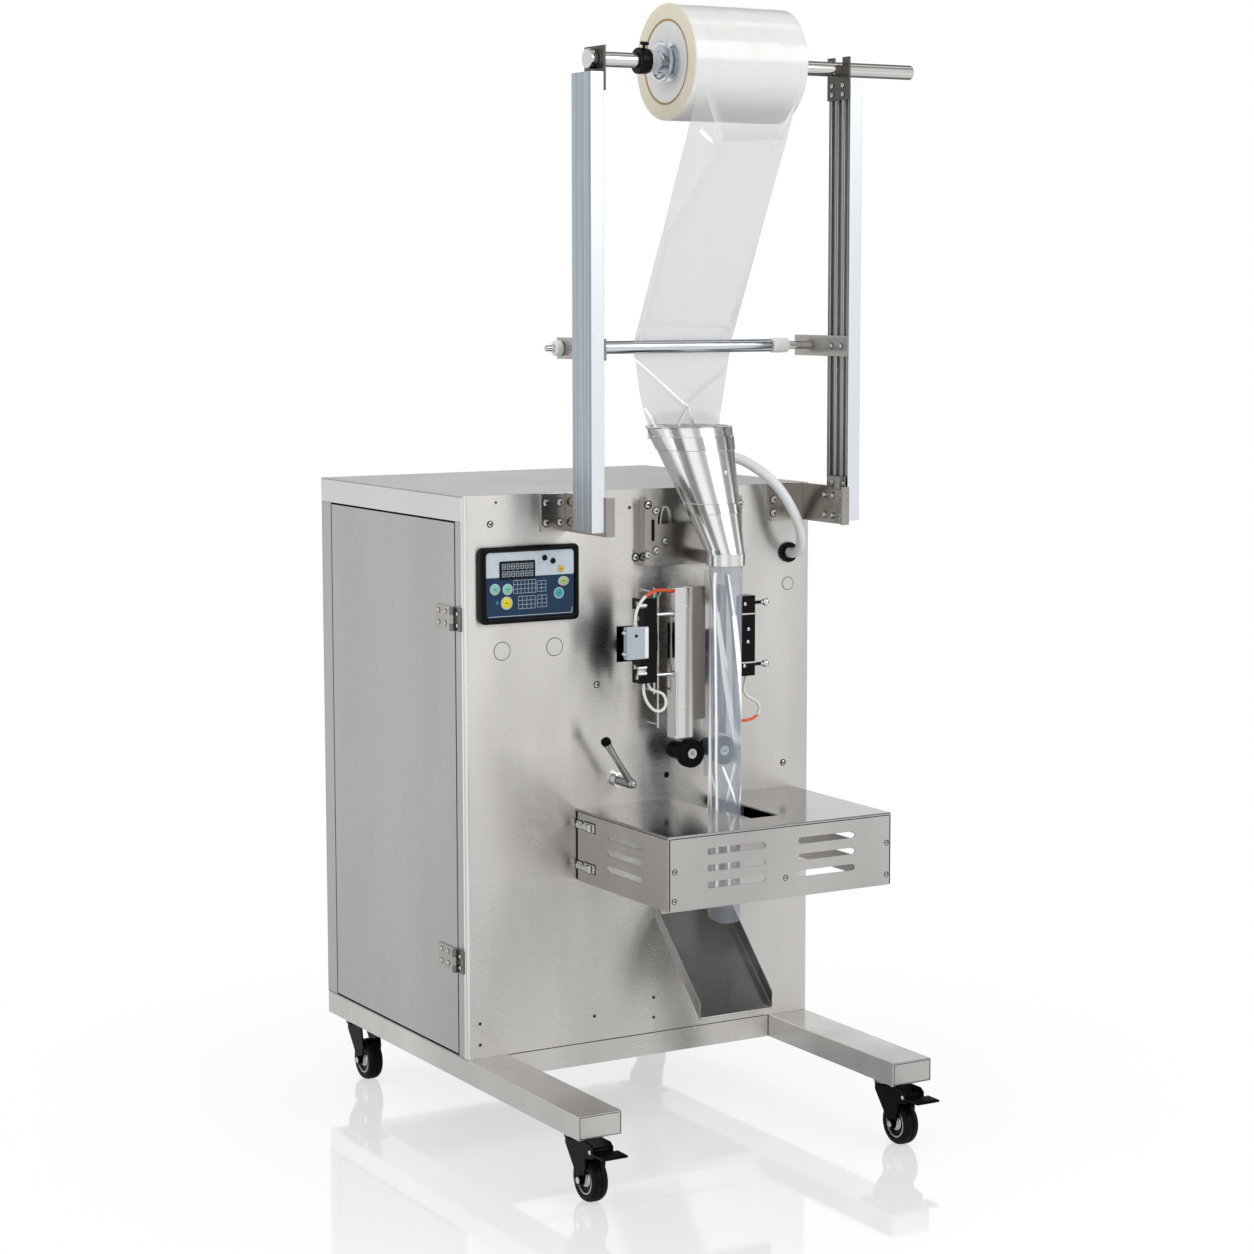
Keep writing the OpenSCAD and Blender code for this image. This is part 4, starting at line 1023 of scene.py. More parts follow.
@dataclass
class Cords:
    """The hose behind the funnel and the three heater leads of the seal jaws."""

    hose: Route = Route("hose_tube", "hose", (647, 0, 989), (
        (0, 4, 0), (0.1, -10.7, -0.5), (-0.4, -25.1, 1.6), (-1.9, -37.9, 7.6), (-4.4, -48, 16.9),
        (-7.7, -54.9, 28.9), (-11.7, -57.5, 42.6), (-16.2, -56.8, 56.6), (-21, -54.1, 70.2),
        (-26.3, -50.3, 83.4), (-32.2, -45.9, 96.2), (-38.8, -41.3, 108.4), (-46.2, -36.1, 120),
        (-54.4, -30.2, 130.7), (-63.3, -23.7, 140.3), (-72.7, -16.5, 149.1),
        (-82.6, -9.1, 157.2), (-93.1, -1.9, 164.4), (-105.4, 4.2, 169.7),
        (-119.1, 8.5, 172.9), (-133.4, 11, 174.8), (-148, 12, 176)), 9.0, 306.6)
    upper: Route = Route("heater_wire_upper", "heater_lead_upper", (367, -75, 946), (
        (-0.3, 13, -7), (-8.7, 11.6, -4.5), (-16.9, 9, -2.9), (-25, 5.5, -2), (-32.9, 1.6, -1.5),
        (-40.6, -2.7, -1.7), (-48.2, -7.1, -2.6), (-55.9, -11, -4.5), (-63.8, -13.8, -7.4),
        (-71.3, -15.6, -11.7), (-77.8, -17, -17.4), (-83.1, -17.9, -24.5), (-86.8, -18.1, -32.5),
        (-88.8, -18, -41), (-89.4, -18, -49.9), (-89.4, -18, -58.7)), 2.6, 132.6)
    lower: Route = Route("heater_wire_lower", "heater_lead_lower", (298, -87, 788), (
        (5, 9, -0.3), (4.4, 9.1, -8.4), (4.9, 8.9, -16.5), (6.8, 8.4, -24.4), (9.9, 7.9, -31.9),
        (14.2, 7.3, -38.8), (19.8, 7, -44.7), (26.5, 6.9, -49.2), (34.3, 7.1, -51),
        (42.1, 7.6, -48.8), (47.5, 8.5, -43), (49.5, 9.8, -35.3), (48.1, 11.7, -27.6),
        (43.7, 13.9, -21.6), (37, 16.4, -18.6), (29.9, 18.7, -16.2), (24.2, 20.3, -12.2),
        (21.5, 20.9, -6.4), (21, 21, -0.4)), 2.6, 140.0)
    right: Route = Route("heater_wire_right", "heater_lead_right", (496, -83, 786), (
        (18, 15, -0.3), (18.7, 15.8, -8.8), (17.4, 16.8, -17.3), (17.1, 18.1, -25.7),
        (21, 19.9, -33.1), (27.2, 21.5, -38.7), (34.4, 23, -43.1), (42, 24.3, -47),
        (49.1, 25.4, -51.6), (54.1, 26.1, -58.5), (54.3, 26.3, -66.9), (50, 25.7, -74.3),
        (42.8, 24.7, -78.6), (34.5, 23.5, -80.7), (26, 22.5, -81.4), (17.5, 21.8, -81.5),
        (8.9, 21.3, -81.3), (0.3, 21, -81)), 2.6, 146.0)

    def build(self, shop: Workshop) -> None:
        dressed = ((self.hose, Look.HOSE), (self.upper, Look.UPPER_LEAD),
                   (self.lower, Look.LEAD), (self.right, Look.RIGHT_LEAD))
        for route, finish in dressed:
            tube = carried(route.line(3), circle(route.radius, 20))
            piece = shop.make(route.name, tube, finish, shop.carrier[route.node],
                              smooth_under=60.0, replaces=[route.node])
            points = route.in_row()


@dataclass(frozen=True)
class Viewpoint:
    """The photograph's camera: where it stands and which way it looks."""

    place: Point = (-2.5605, -4.2874, 1.4579)
    yaw: float = 30.32
    pitch: float = -6.8
    roll: float = -0.08
    lens: float = 81.97
    sensor: float = 36.0

    def build(self) -> None:
        """Makes the camera. It starts along -z, so the pitch is added to 90 degrees."""
        data = bpy.data.cameras.new("viewpoint")
        data.sensor_fit = "HORIZONTAL"
        data.sensor_width = self.sensor
        data.lens = self.lens
        camera = linked("viewpoint", data)
        camera.matrix_world = (Matrix.Translation(self.place)
                               @ Matrix.Rotation(math.radians(-self.yaw), 4, "Z")
                               @ Matrix.Rotation(math.radians(90 + self.pitch), 4, "X")
                               @ Matrix.Rotation(math.radians(self.roll), 4, "Z"))
        bpy.context.scene.camera = camera


@dataclass(frozen=True)
class Softbox:
    """A square lamp that points at a place on the machine."""

    name: str
    place: Point
    aim: Point
    size: float
    watts: float

    def build(self) -> None:
        """Places the lamp: its -z axis is turned along the line to the aim."""
        data = bpy.data.lights.new(self.name, "AREA")
        data.shape = "SQUARE"
        data.size = self.size
        data.energy = self.watts
        lamp = linked(self.name, data)
        start = np.array(self.place, float)
        way = np.array(self.aim, float) - start
        yaw = math.atan2(way[1], way[0]) - math.pi / 2
        tilt = math.atan2(way[2], math.hypot(way[0], way[1]))
        lamp.matrix_world = (Matrix.Translation(self.place) @ Matrix.Rotation(yaw, 4, "Z")
                             @ Matrix.Rotation(math.pi / 2 + tilt, 4, "X"))


@dataclass(frozen=True)
class Studio:
    """The pale floor, the white surround and the lamps."""

    floor_reach: float = 14.0
    sky: float = 0.72
    lamps: tuple[Softbox, ...] = (
        Softbox("key", (1.6, -4.2, 3.4), (0.0, 0.0, 0.9), 2.6, 52.0),
        Softbox("fill", (-4.5, 0.6, 2.4), (0.0, 0.0, 0.9), 2.4, 16.0),
    )
    # Brightness that shiny surfaces meet, by heading in degrees from +X towards +Y
    round_about: tuple[Point, ...] = (
        (-180, 1.1), (-176, 0.25), (-152, 0.25), (-144, 1.15), (-118, 1.1), (-108, 0.5),
        (-92, 0.5), (-84, 0.98), (-68, 0.80), (-50, 0.76), (-42, 0.35), (-20, 0.35),
        (-14, 1.3), (-4, 1.2), (4, 0.2), (55, 0.25), (63, 0.9),
        (74, 0.25), (97, 0.3), (106, 0.88), (138, 0.88), (144, 0.25), (157, 0.3), (164, 1.2),
        (180, 1.1))

    def build(self) -> None:
        """Makes the world, the floor and each lamp."""
        scene = bpy.context.scene
        scene.view_settings.view_transform = "Standard"
        world = bpy.data.worlds.new("studio")
        scene.world = world
        world.use_nodes = True
        self.dress_world(Desk(world.node_tree))
        self.make_floor()
        for lamp in self.lamps:
            lamp.build()

    def dress_world(self, desk: Desk) -> None:
        """White to the camera, an even grey for soft light, and a striped studio for shine.

        Shiny surfaces meet the brightness listed by heading, less a dark band half way up at the
        back, so that round bars and the funnel show the dark edges of a studio. Under that band
        it is clear, for the floor to mirror.

        Args:
            desk: the world's tree.
        """
        way = desk.node("TexCoord", out="Generated")
        x, y, z = (desk.part(axis, way) for axis in "XYZ")
        rays, glossy = desk.ray("Camera"), desk.ray("Glossy")
        turn = y.maths("ARCTAN2", y, x) / (2 * math.pi) + 0.5
        stops = [((h + 180) / 360, (v / 2, v / 2, v / 2)) for h, v in self.round_about]
        listed = desk.node("ValToRGB", {"stops": stops}, {0: turn}) * 2.0
        band = z.above(0.40, 0.48) * (1.0 - z.above(0.62, 0.76)) * y.above(-0.1, 0.25)
        clear = z.above(0.10, 0.16) * (1.0 - z.above(0.36, 0.44)) * y.above(0.1, 0.4)
        shiny = (listed + (1.0 - listed) * clear) * (1.0 - band * 0.7)
        plain = (z * 0.5 + 0.5).above(0.35, 0.95) * 0.30 + self.sky
        studio = plain + (shiny - plain) * glossy
        strength = studio * (1.0 - rays) + rays
        background = desk.node("Background", None,
                               {"Color": (1.0, 1.0, 1.0, 1.0), "Strength": strength})
        desk.node("OutputWorld", None, {"Surface": background})

    def make_floor(self) -> None:
        """A pale glossy floor that turns white far from the machine.

        To the camera it glows more with distance, as a lit sweep; to shiny surfaces it is dim
        near the machine and dark behind its right side, which gives round bars a dark edge.
        """
        reach = self.floor_reach * 1000
        steps = np.linspace(-reach, reach, 5)
        x, y = np.meshgrid(steps, steps, indexing="ij")
        shell = surface(np.stack([x, y, np.zeros_like(x)], -1))
        mesh = bpy.data.meshes.new("floor")
        mesh.from_pydata((shell.points * MM).tolist(), [], shell.faces[0].tolist())
        floor = linked("floor", mesh)
        material = bpy.data.materials.new("pale_floor")
        material.use_nodes = True
        desk = Desk(material.node_tree)
        slow = desk.noise(1.5, 3.0, 0.5)
        tone = desk.blend(slow, (0.95, 0.95, 0.95), (0.98, 0.98, 0.98))
        gloss = desk.node("BsdfPrincipled", None,
                          {"Base Color": tone, "Roughness": 0.06, "IOR": 1.6, "Metallic": 0.4})
        glow, dusk, night = (desk.node("Emission", None,
                                       {"Color": (1.0, 1.0, 1.0, 1.0), "Strength": strength})
                             for strength in (1.0, 0.62, 0.07))
        rays, shiny = desk.ray("Camera"), desk.ray("Glossy")
        place = desk.node("TexCoord", out="Object")
        far = desk.node("VectorMath", {"operation": "LENGTH"}, {0: place}, "Value")
        x, y = (desk.part(axis) for axis in "XY")
        behind = x.above(0.35, 1.0) * y.above(-0.5, 0.4)
        edge, wide = far.above(0.6, 1.5), far.above(0.8, 6.0)
        dim = desk.node("MixShader", None,
                        {0: shiny * (1.0 - wide) * 0.35, 1: gloss, 2: dusk})
        mixed = desk.node("MixShader", None,
                          {0: rays * (edge * 0.42 + 0.58) + shiny * wide * 0.5, 1: dim, 2: glow})
        last = desk.node("MixShader", None,
                         {0: shiny * behind * 0.8, 1: mixed, 2: night})
        desk.node("OutputMaterial", None, {"Surface": last})
        mesh.materials.append(material)


# The machine's sub-assemblies


@dataclass
class Cabinet:
    """The brushed steel box, its frame, its side door and the screws on it."""

    top: float = 1112.0
    low: float = 152.0
    plates: dict[str, tuple[Finish, float]] = field(default_factory=lambda: {
        "front_panel": (Look.PANEL, 0.9), "back_panel": (Look.PANEL, 0.9),
        "right_panel": (Look.SIDE, 0.9), "top_cover": (Look.SHADED_LEVEL_STEEL, 1.4),
        "corner_posts": (Look.SHADED_DOOR_STEEL, 1.2), "header_rails": (Look.SIDE, 0.8),
        "floor_plate": (Look.SHADED_LEVEL_STEEL, 0.6), "side_door": (Look.SHADED_DOOR_STEEL, 1.6),
        "hinge_frame_leaves": (Look.HINGE, 0.4), "hinge_door_leaves": (Look.BRACKET, 0.4),
        "base_legs": (Look.LEG, 2.0), "cross_beams": (Look.PANEL, 2.0),
    })
    panel_screws: tuple[Point, ...] = ((51, -0.1, 1064), (255, -0.1, 779), (639, -0.1, 611))
    panel_holes: tuple[Point, ...] = (
        (25, 213, 2.9), (25, 176, 2.9), (249, 197, 2.9), (369, 215, 2.9), (369, 179, 2.9),
        (321, 1081, 2.9), (395, 610, 5.6), (62, 1100, 2.4))
    knock_outs: tuple[Point, ...] = (
        (72, 849, 16), (173, 850, 16), (647, 933, 12))

    def build(self, shop: Workshop) -> None:
        """Softens the plates and adds what is fixed to them."""
        for node, (finish, width) in self.plates.items():
            shop.rounded(node, finish, width)
        self.add_bends(shop)
        self.add_marks(shop)
        self.add_hinge_screws(shop)
        self.add_leg_lines(shop)

    def add_leg_lines(self, shop: Workshop) -> None:
        """The thin dark joints round the leg tubes' end caps and where the beam meets them."""
        lines = []
        for x in (0.0, 610.0):
            for z in (114.2, 149.0):
                lines.append(block((x + 2.4, -385.3, z), (x + 77.6, -385.0, z + 1.0), 0.1))
            for side in (2.4, 76.6):
                lines.append(block((x + side, -385.3, 114.2), (x + side + 1.0, -385.0, 150.0), 0.1))
        lines += [block((80.5, -0.3, 151.2), (609.5, 0.1, 152.6), 0.1),
                  block((78.9, 0.2, 151.9), (80.4, 20, 152.3), 0.1),
                  block((609.6, -0.3, 114), (611.2, 0.2, 152), 0.1),
                  block((78.9, -0.3, 114), (80.4, 0.2, 152), 0.1)]
        shop.make("leg_gap_lines", lines, Look.SHADE_AND_JOINT_BLACK)

    def add_bends(self, shop: Workshop) -> None:
        """The bright folded corner: half round beads down the front left corner, on both its faces.
        """
        steps = np.linspace(0, math.pi, 9)
        section = np.stack([3.0 * np.cos(steps), 0.35 * np.sin(steps)], -1)
        height = np.linspace(self.low + 2, self.top - 2, 12)
        upright = np.stack([np.c_[np.full(9, 4.0) + section[:, 0], -section[:, 1],
                                  np.full(9, z)] for z in height], 1)
        side = np.stack([np.c_[-section[:, 1], np.full(9, 5.0) + section[:, 0],
                               np.full(9, z)] for z in height], 1)
        # The beads' near white steel is the bend's painted highlight.
        shop.make("front_corner_bend", [surface(upright), surface(side)], Look.BEND_HIGHLIGHT,
                  closed=False)

    def add_marks(self, shop: Workshop) -> None:
        """Screws, drilled holes and knock-outs of the front panel."""
        shop.fasten("panel_screws", [(Head.BUTTON, 4.6, Axis.FRONT, self.panel_screws)])
        # The drilled holes are dark discs: painted shade inside them.
        dark = [rod(r, 0.35, 0.1, 24).pointing(Axis.FRONT, x, -0.1, z)
                for x, z, r in self.panel_holes]
        shop.make("panel_drilled_holes", dark, Look.SHADE_AND_JOINT_BLACK)
        lips = [ringed(r + 1.0, r - 0.2, 0, 0.4, 0.1, 24).pointing(Axis.FRONT, x, -0.1, z)
                for x, z, r in self.panel_holes]
        rings, caps = [], []
        for x, z, radius in self.knock_outs:
            rings.append(ringed(radius, radius - 1.1, 0, 0.25, 0.08)
                         .pointing(Axis.FRONT, x, -0.05, z))
            caps.append(rod(radius - 1.1, 0.45, 0.3, 48).pointing(Axis.FRONT, x, -0.05, z))
        shop.make("knock_out_gaps", rings, Look.DARK)
        shop.make("knock_out_caps", caps + lips, Look.PANEL)

    def add_hinge_screws(self, shop: Workshop) -> None:
        """Two screws on each hinge leaf, on the left side."""
        door = [(-3.0, y, z) for z in (310, 330, 895, 915) for y in (62, 86)]
        frame = [(-3.0, 17, z) for z in (310, 330, 895, 915)]
        shop.fasten("hinge_door_screws", [(Head.PAN, 3.6, Axis.LEFT, door)], "side_door")
        shop.fasten("hinge_frame_screws", [(Head.PAN, 3.6, Axis.LEFT, frame)])


@dataclass
class Keypad:
    """The generic control panel: a rounded bezel, two face plates, keys and a window."""

    centre: Point = (121.5, 961.0)
    size: Point = (187.0, 130.0)
    depth: float = 13.4
    keys: tuple[tuple, ...] = (
        ("amber_key", 180, 984, 6.2, 6.2, Look.AMBER),
        ("lime_key", 185, 963, 10.0, 7.5, Look.LIME),
        ("teal_key", 176, 943, 9.0, 9.0, Look.TEAL),
        ("mint_key_left", 54, 955, 9.0, 9.0, Look.MINT),
        ("mint_key_right", 78, 954, 9.0, 9.0, Look.MINT),
        ("yellow_key", 76, 931, 10.5, 10.5, Look.YELLOW),
        ("blue_dot", 58, 932, 3.6, 3.6, Look.BLUE),
    )

    def build(self, shop: Workshop) -> None:
        """Builds the bezel, the faces and everything on them, on the panel's front."""
        self.add_bezel(shop)
        self.add_faces(shop)
        self.add_keys(shop)
        self.add_window(shop)
        self.add_prints(shop)

    def at(self, shell: Shell, x: float, z: float, lift: float) -> Shell:
        """Puts a shell made along z on the keypad's face, lift above the recessed plate."""
        return shell.pointing(Axis.FRONT, x, -self.depth + 3.4 - lift, z)

    def add_bezel(self, shop: Workshop) -> None:
        """The frame: a rounded outline carried through a section like a quarter round.

        Point = centre + outline * (1 - drawn in / half size), at the section's height.
        """
        outline = rounded_outline(self.size[0], self.size[1], 9.0, 8)
        half = np.array(self.size) / 2
        section = ((0.0, 0.0), (0.0, 8.6), (0.5, 11.2), (1.6, 12.8), (3.0, 13.4), (6.4, 13.4),
                   (8.0, 12.8), (8.8, 11.4), (9.1, 9.0))
        loops = [np.c_[outline * (1 - inset / half), np.full(len(outline), rise)]
                 for inset, rise in section]
        ring = surface(np.stack(loops), looped=True)
        ring.faces.append(np.arange(len(outline))[None, ::-1])
        floor = (len(section) - 1) * len(outline) + np.arange(len(outline))
        ring.faces.append(floor[None, :])
        shell = ring.pointing(Axis.FRONT, self.centre[0], 0, self.centre[1])
        shop.make("keypad_bezel", shell, Look.PLASTIC, replaces=["control_panel"])

    def add_faces(self, shop: Workshop) -> None:
        """The pale upper plate and the navy lower plate, a millimetre above the floor."""
        width, height = self.size[0] - 19.4, self.size[1] - 19.4
        split = self.centre[1] + height * 0.12
        top, foot = self.centre[1] + height / 2, self.centre[1] - height / 2
        pale = slab(rounded_outline(width, top - split, 2.0), 1.0, 0.3)
        navy = slab(rounded_outline(width, split - foot, 2.0), 1.0, 0.3)
        shop.make("keypad_upper_face", self.at(pale, self.centre[0], (top + split) / 2, -1.0),
                  Look.SKY)
        shop.make("keypad_lower_face", self.at(navy, self.centre[0], (split + foot) / 2, -1.0),
                  Look.NAVY)
        line = slab(rounded_outline(width - 8, 0.8, 0.3), 0.2, 0.05)
        corner = slab(rounded_outline(0.9, 9.0, 0.3), 0.2, 0.05)
        trim = [self.at(line, self.centre[0], foot + 3, 0.0),
                self.at(corner, self.centre[0] + width / 2 - 4, foot + 7.5, 0.0)]
        shop.make("keypad_trim_line", trim, Look.ZINC)

    def add_keys(self, shop: Workshop) -> None:
        """Domed keys, each with a pale rim; an oval one is stretched along x and z."""
        rims: list[Shell] = []
        marks: list[Shell] = []
        for name, x, z, wide, high, finish in self.keys:
            wide, high = 0.87 * wide, 0.87 * high
            dome = lathed([(0, 1.5), (0.45, 1.42), (0.8, 1.1), (0.97, 0.6), (1, 0), (0, 0)], 40)
            stretched = Shell(dome.points * np.array([wide, high, 1.0]), dome.faces)
            shop.make(name, self.at(stretched, x, z, 0.0), finish)
            if wide > 4:
                edge = ringed(1.22, 0.98, 0, 0.55, 0.06, 40)
                rims.append(self.at(Shell(edge.points * np.array([wide, high, 1.0]),
                                          edge.faces), x, z, 0.0))
                dot = slab(rounded_outline(wide * 0.55, high * 0.18, 0.3, 3), 0.25, 0.06)
                marks.append(self.at(dot, x, z, 1.42))
        shop.make("keypad_key_rims", rims, Look.PALE)
        shop.make("keypad_key_marks", marks, Look.NAVY)
        knob = lathed([(0, 2.6), (3.4, 2.6), (4.4, 1.9), (5.0, 0.4), (5.0, 0), (0, 0)], 32)
        pair = [self.at(knob, x, z, 0.0) for x, z in ((149, 1004), (165, 998))]
        shop.make("keypad_knobs", pair, Look.PLASTIC)

    def add_window(self, shop: Workshop) -> None:
        """The display: a dark frame, a glass plate and two rows of unlit segment cells."""
        x, z, wide, high = 96.5, 986.0, 68.0, 31.0
        frame = slab(rounded_outline(wide, high, 2.5), 1.0, 0.4)
        shop.make("keypad_window_frame", self.at(frame, x, z, 0.0), Look.PLASTIC)
        glass = slab(rounded_outline(wide - 5, high - 5, 1.2), 0.3, 0.1)
        shop.make("keypad_window_glass", self.at(glass, x, z, 1.0), Look.GLASS)
        cell = Shell.joined(
            slab(rounded_outline(*size, 0.3, 3), 0.2, 0.05).moved(*place) for size, place in (
                ((0.9, 9.0), (-2.6, 0)), ((0.9, 9.0), (2.6, 0)), ((5.0, 0.9), (0, 4.1)),
                ((5.0, 0.9), (0, 0)), ((5.0, 0.9), (0, -4.1))))
        cells = [self.at(cell, x + dx, z + dz, 1.3)
                 for dx in np.linspace(-26, 26, 7) for dz in (-6.3, 6.3)]
        shop.make("keypad_window_cells", cells, Look.PALE)

    def add_prints(self, shop: Workshop) -> None:
        """Four generic grids of small cells beside the keys, and a rim round each."""
        prints: list[Shell] = []
        for x, z, wide, high, cols, rows in ((110.5, 957.5, 42, 22, 6, 3),
                                             (142.5, 956.5, 17, 18, 2, 3),
                                             (114.5, 930.5, 32, 21, 4, 3),
                                             (143.5, 931.0, 18, 20, 2, 3)):
            for dx in np.linspace(-wide / 2, wide / 2, cols + 1):
                bar = slab(rounded_outline(0.7, high + 0.7, 0.2, 2), 0.2, 0.05)
                prints.append(self.at(bar, x + dx, z, 0.0))
            for dz in np.linspace(-high / 2, high / 2, rows + 1):
                bar = slab(rounded_outline(wide + 0.7, 0.7, 0.2, 2), 0.2, 0.05)
                prints.append(self.at(bar, x, z + dz, 0.0))
        shop.make("keypad_print_grids", prints, Look.PALE)


@dataclass
class ReelStand:
    """Two slotted posts on bolted arms, the shaft, its brackets and the film on it."""

    axis_y: float = -105.5
    axis_z: float = 1827.0
    roll: Point = (330.0, 550.0, 96.0)
    film_x: float = 440.0
    guide: Point = (10.0, 1355.0, 11.0)

    def build(self, shop: Workshop) -> None:
        """Softens the stand's metal and replaces the film, the plugs and the roller's ends."""
        shop.rounded("reel_posts", Look.POST, 1.5)
        shop.rounded("post_arms", Look.BRACKET, 1.0)
        shop.rounded("shaft_brackets", Look.DARK, 0.6)
        shop.rounded("reel_shaft", Look.SHAFT, 2.2, 3)
        shop.rounded("shaft_collars", Look.PLASTIC, 1.6, 3)
        shop.rounded("reel_cones", Look.ZINC, 0.6)
        shop.rounded("guide_roller", Look.ZINC, 0.8)
        shop.rounded("guide_brackets", Look.BRACKET, 0.6)
        self.add_roll(shop)
        self.add_guide_axle(shop)
        self.add_web(shop)
        self.add_fixings(shop)

    def add_roll(self, shop: Workshop) -> None:
        """The roll: a ring along x whose outside swells by 0.3 mm in slow waves.

        Radius at (x, a) = r + 0.3 sin(3 a + x / 31) sin(x / 17), drawn in at both ends.
        """
        left, right, radius = self.roll
        along = np.linspace(left + 1.2, right - 1.2, 40)
        angle = np.arange(96) * 2 * math.pi / 96
        wave = 0.3 * np.sin(3 * angle[None, :] + along[:, None] / 31) * np.sin(
            along[:, None] / 17)
        far = radius - 0.3 + wave
        skin = np.stack([np.repeat(along[:, None], 96, 1), far * np.cos(angle),
                         far * np.sin(angle)], -1)

        def loop(x: float, r: float) -> np.ndarray:
            """Returns a circle of radius r across x."""
            return np.c_[np.full(96, x), r * np.cos(angle), r * np.sin(angle)][None]

        parts = [loop(left, 68.4), loop(left, 80.0), loop(left, radius - 1.6),
                 loop(left + 0.4, radius - 0.6), skin, loop(right - 0.4, radius - 0.6),
                 loop(right, radius - 1.6), loop(right, 80.0), loop(right, 68.4),
                 loop(left, 68.4)]
        shell = surface(np.concatenate(parts), looped=True).moved(0, self.axis_y, self.axis_z)
        shop.make("film_roll_wound", shell, Look.ROLL, "film_reel", replaces=["film_roll"])
        core = ringed(70.6, 66.6, 0, right - left + 0.8, 0.5, 72).pointing(Axis.RIGHT)
        shop.make("film_roll_core", core.moved(left - 0.4, self.axis_y, self.axis_z),
                  Look.CORE, "film_reel")
        dish = [(12.6, 0.0), (36, 1.0), (44, 3.4), (55, 6.8), (63, 8.8), (66.4, 9.6),
                (67.4, 9.0), (67.4, -20), (60, -20), (52, -4), (12.6, -4), (12.6, 0.0)]
        plug = lathed(dish, 72)
        pair = [plug.pointing(Axis.LEFT, left + 9.9, self.axis_y, self.axis_z),
                plug.pointing(Axis.RIGHT, right - 9.9, self.axis_y, self.axis_z)]
        shop.make("core_plug_pair", pair, Look.WHITE, "film_reel",
                  replaces=["core_plugs"])
        cup = lathed([(12.8, 2.0), (17, 2.4), (20, 4.0), (26, 10.0), (29, 12.4), (32.5, 13.0),
                      (33.5, 12.0), (33.0, 9.0), (22, -2.0), (12.8, -2.0), (12.8, 2.0)], 64)
        shop.make("cone_cup", cup.pointing(Axis.LEFT, 332.0, self.axis_y, self.axis_z),
                  Look.ZINC, "film_reel")

    def add_guide_axle(self, shop: Workshop) -> None:
        """The fixed axle with its milky nylon collars, and a bolt end on the left."""
        y, z, _ = self.guide
        bar = rod(6.9, 500, 0.8, 32).pointing(Axis.RIGHT, 178, y, z)
        stub = rod(5.2, 17, 1.2, 24).pointing(Axis.RIGHT, 163, y, z)
        shop.make("guide_axle_bar", [bar, stub], Look.SHAFT, replaces=["guide_axle"])
        section = [(7.0, 0), (10.6, 0), (12.8, 2.0), (13.0, 12.2), (11.6, 13.8), (7.0, 13.8),
                   (7.0, 0)]
        left = lathed(section, 40).pointing(Axis.RIGHT, 179, y, z)
        long = lathed([(7.0, 0), (11.0, 0), (12.8, 1.8), (13.0, 20), (12.4, 20.6), (12.4, 22.2),
                       (13.0, 22.8), (12.6, 32.4), (11.0, 34), (7.0, 34), (7.0, 0)], 40)
        right = long.pointing(Axis.RIGHT, 615.2, y, z)
        shop.make("guide_axle_collars", [left, right], Look.MILK)

    def web_line(self, count: int) -> tuple[np.ndarray, np.ndarray]:
        """The web's middle line in y and z: off the roll's front, behind the guide, then down.

        The straight part is the inner tangent of two circles whose radii are the roll's and
        the guide's plus a gap: its normal n satisfies n . (c2 - c1) = r1 + r2.

        Args:
            count: points on the whole line.

        Returns:
            The y and z of each point.
        """
        first = np.array([self.axis_y, self.axis_z])
        second = np.array([self.guide[0], self.guide[1]])
        r1, r2 = self.roll[2] + 1.0, self.guide[2] + 1.0
        gap = second - first
        far = float(np.hypot(*gap))
        lean = math.atan2(gap[1], gap[0]) - math.acos((r1 + r2) / far)
        normal = np.array([math.cos(lean), math.sin(lean)])
        start, end = first + r1 * normal, second - r2 * normal
        begin = math.atan2(-normal[1], -normal[0])
        turn = np.linspace(begin, 0.0 if begin < 1 else 2 * math.pi, 8)[1:]
        bend = second + r2 * np.stack([np.cos(turn), np.sin(turn)], -1)
        down = np.stack([np.full(30, second[0] + r2), np.linspace(second[1] - 4, 1196, 30)], -1)
        line = np.concatenate([start + (end - start) * np.linspace(0, 1, 40)[:, None],
                               bend, down])
        run = np.r_[0, np.cumsum(np.linalg.norm(np.diff(line, axis=0), axis=1))]
        even = np.linspace(0, run[-1], count)
        return np.interp(even, run, line[:, 0]), np.interp(even, run, line[:, 1])

    def add_web(self, shop: Workshop) -> None:
        """The film between roll, guide and funnel.

        A grid over u across and the height z: x = 440 + half width * u. Under the guide the
        width shrinks, and at the funnel the sheet curls into an arc; creases are ridges on it.
        """
        y, z = self.web_line(220)
        grid_u, grid_z = np.meshgrid(np.linspace(-1, 1, 81), z)
        curl = smooth((1246 - grid_z) / 30)
        flat_x = (98.5 - 22.5 * np.clip((1352 - grid_z) / 132, 0, 1)) * grid_u
        arc = np.radians(86) * grid_u
        creases = (
            ((-33, 1695), (89, 1702), 22, 3), ((-33, 1695), (-88, 1554), 18, 4),
            ((-86, 1778), (-33, 1695), 12, 3), ((66, 1700), (82, 1392), 26, 3),
            ((-100, 1336), (6, 1251), 5, 5), ((6, 1251), (-2, 1216), 4, 5),
            ((6, 1251), (26, 1216), 4, 5), ((-84, 1250), (-48, 1210), 7, 5))
        hold = smooth(np.abs(grid_z - 1355) / 40) * smooth((1760 - grid_z) / 50)
        lift = sum(ridge(flat_x, grid_z, *crease) for crease in creases) * hold
        x = self.film_x + (1 - curl) * flat_x + curl * 73.0 * np.sin(arc)
        bent_y = np.repeat(y[:, None], 81, 1) + curl * 21.0 * (np.cos(arc) - 0.35)
        shell = surface(np.stack([x, bent_y - lift, grid_z], -1))
        shop.make("film_web_sheet", shell, Look.WEB, smooth_under=50.0, replaces=["film_web"],
                  closed=False)

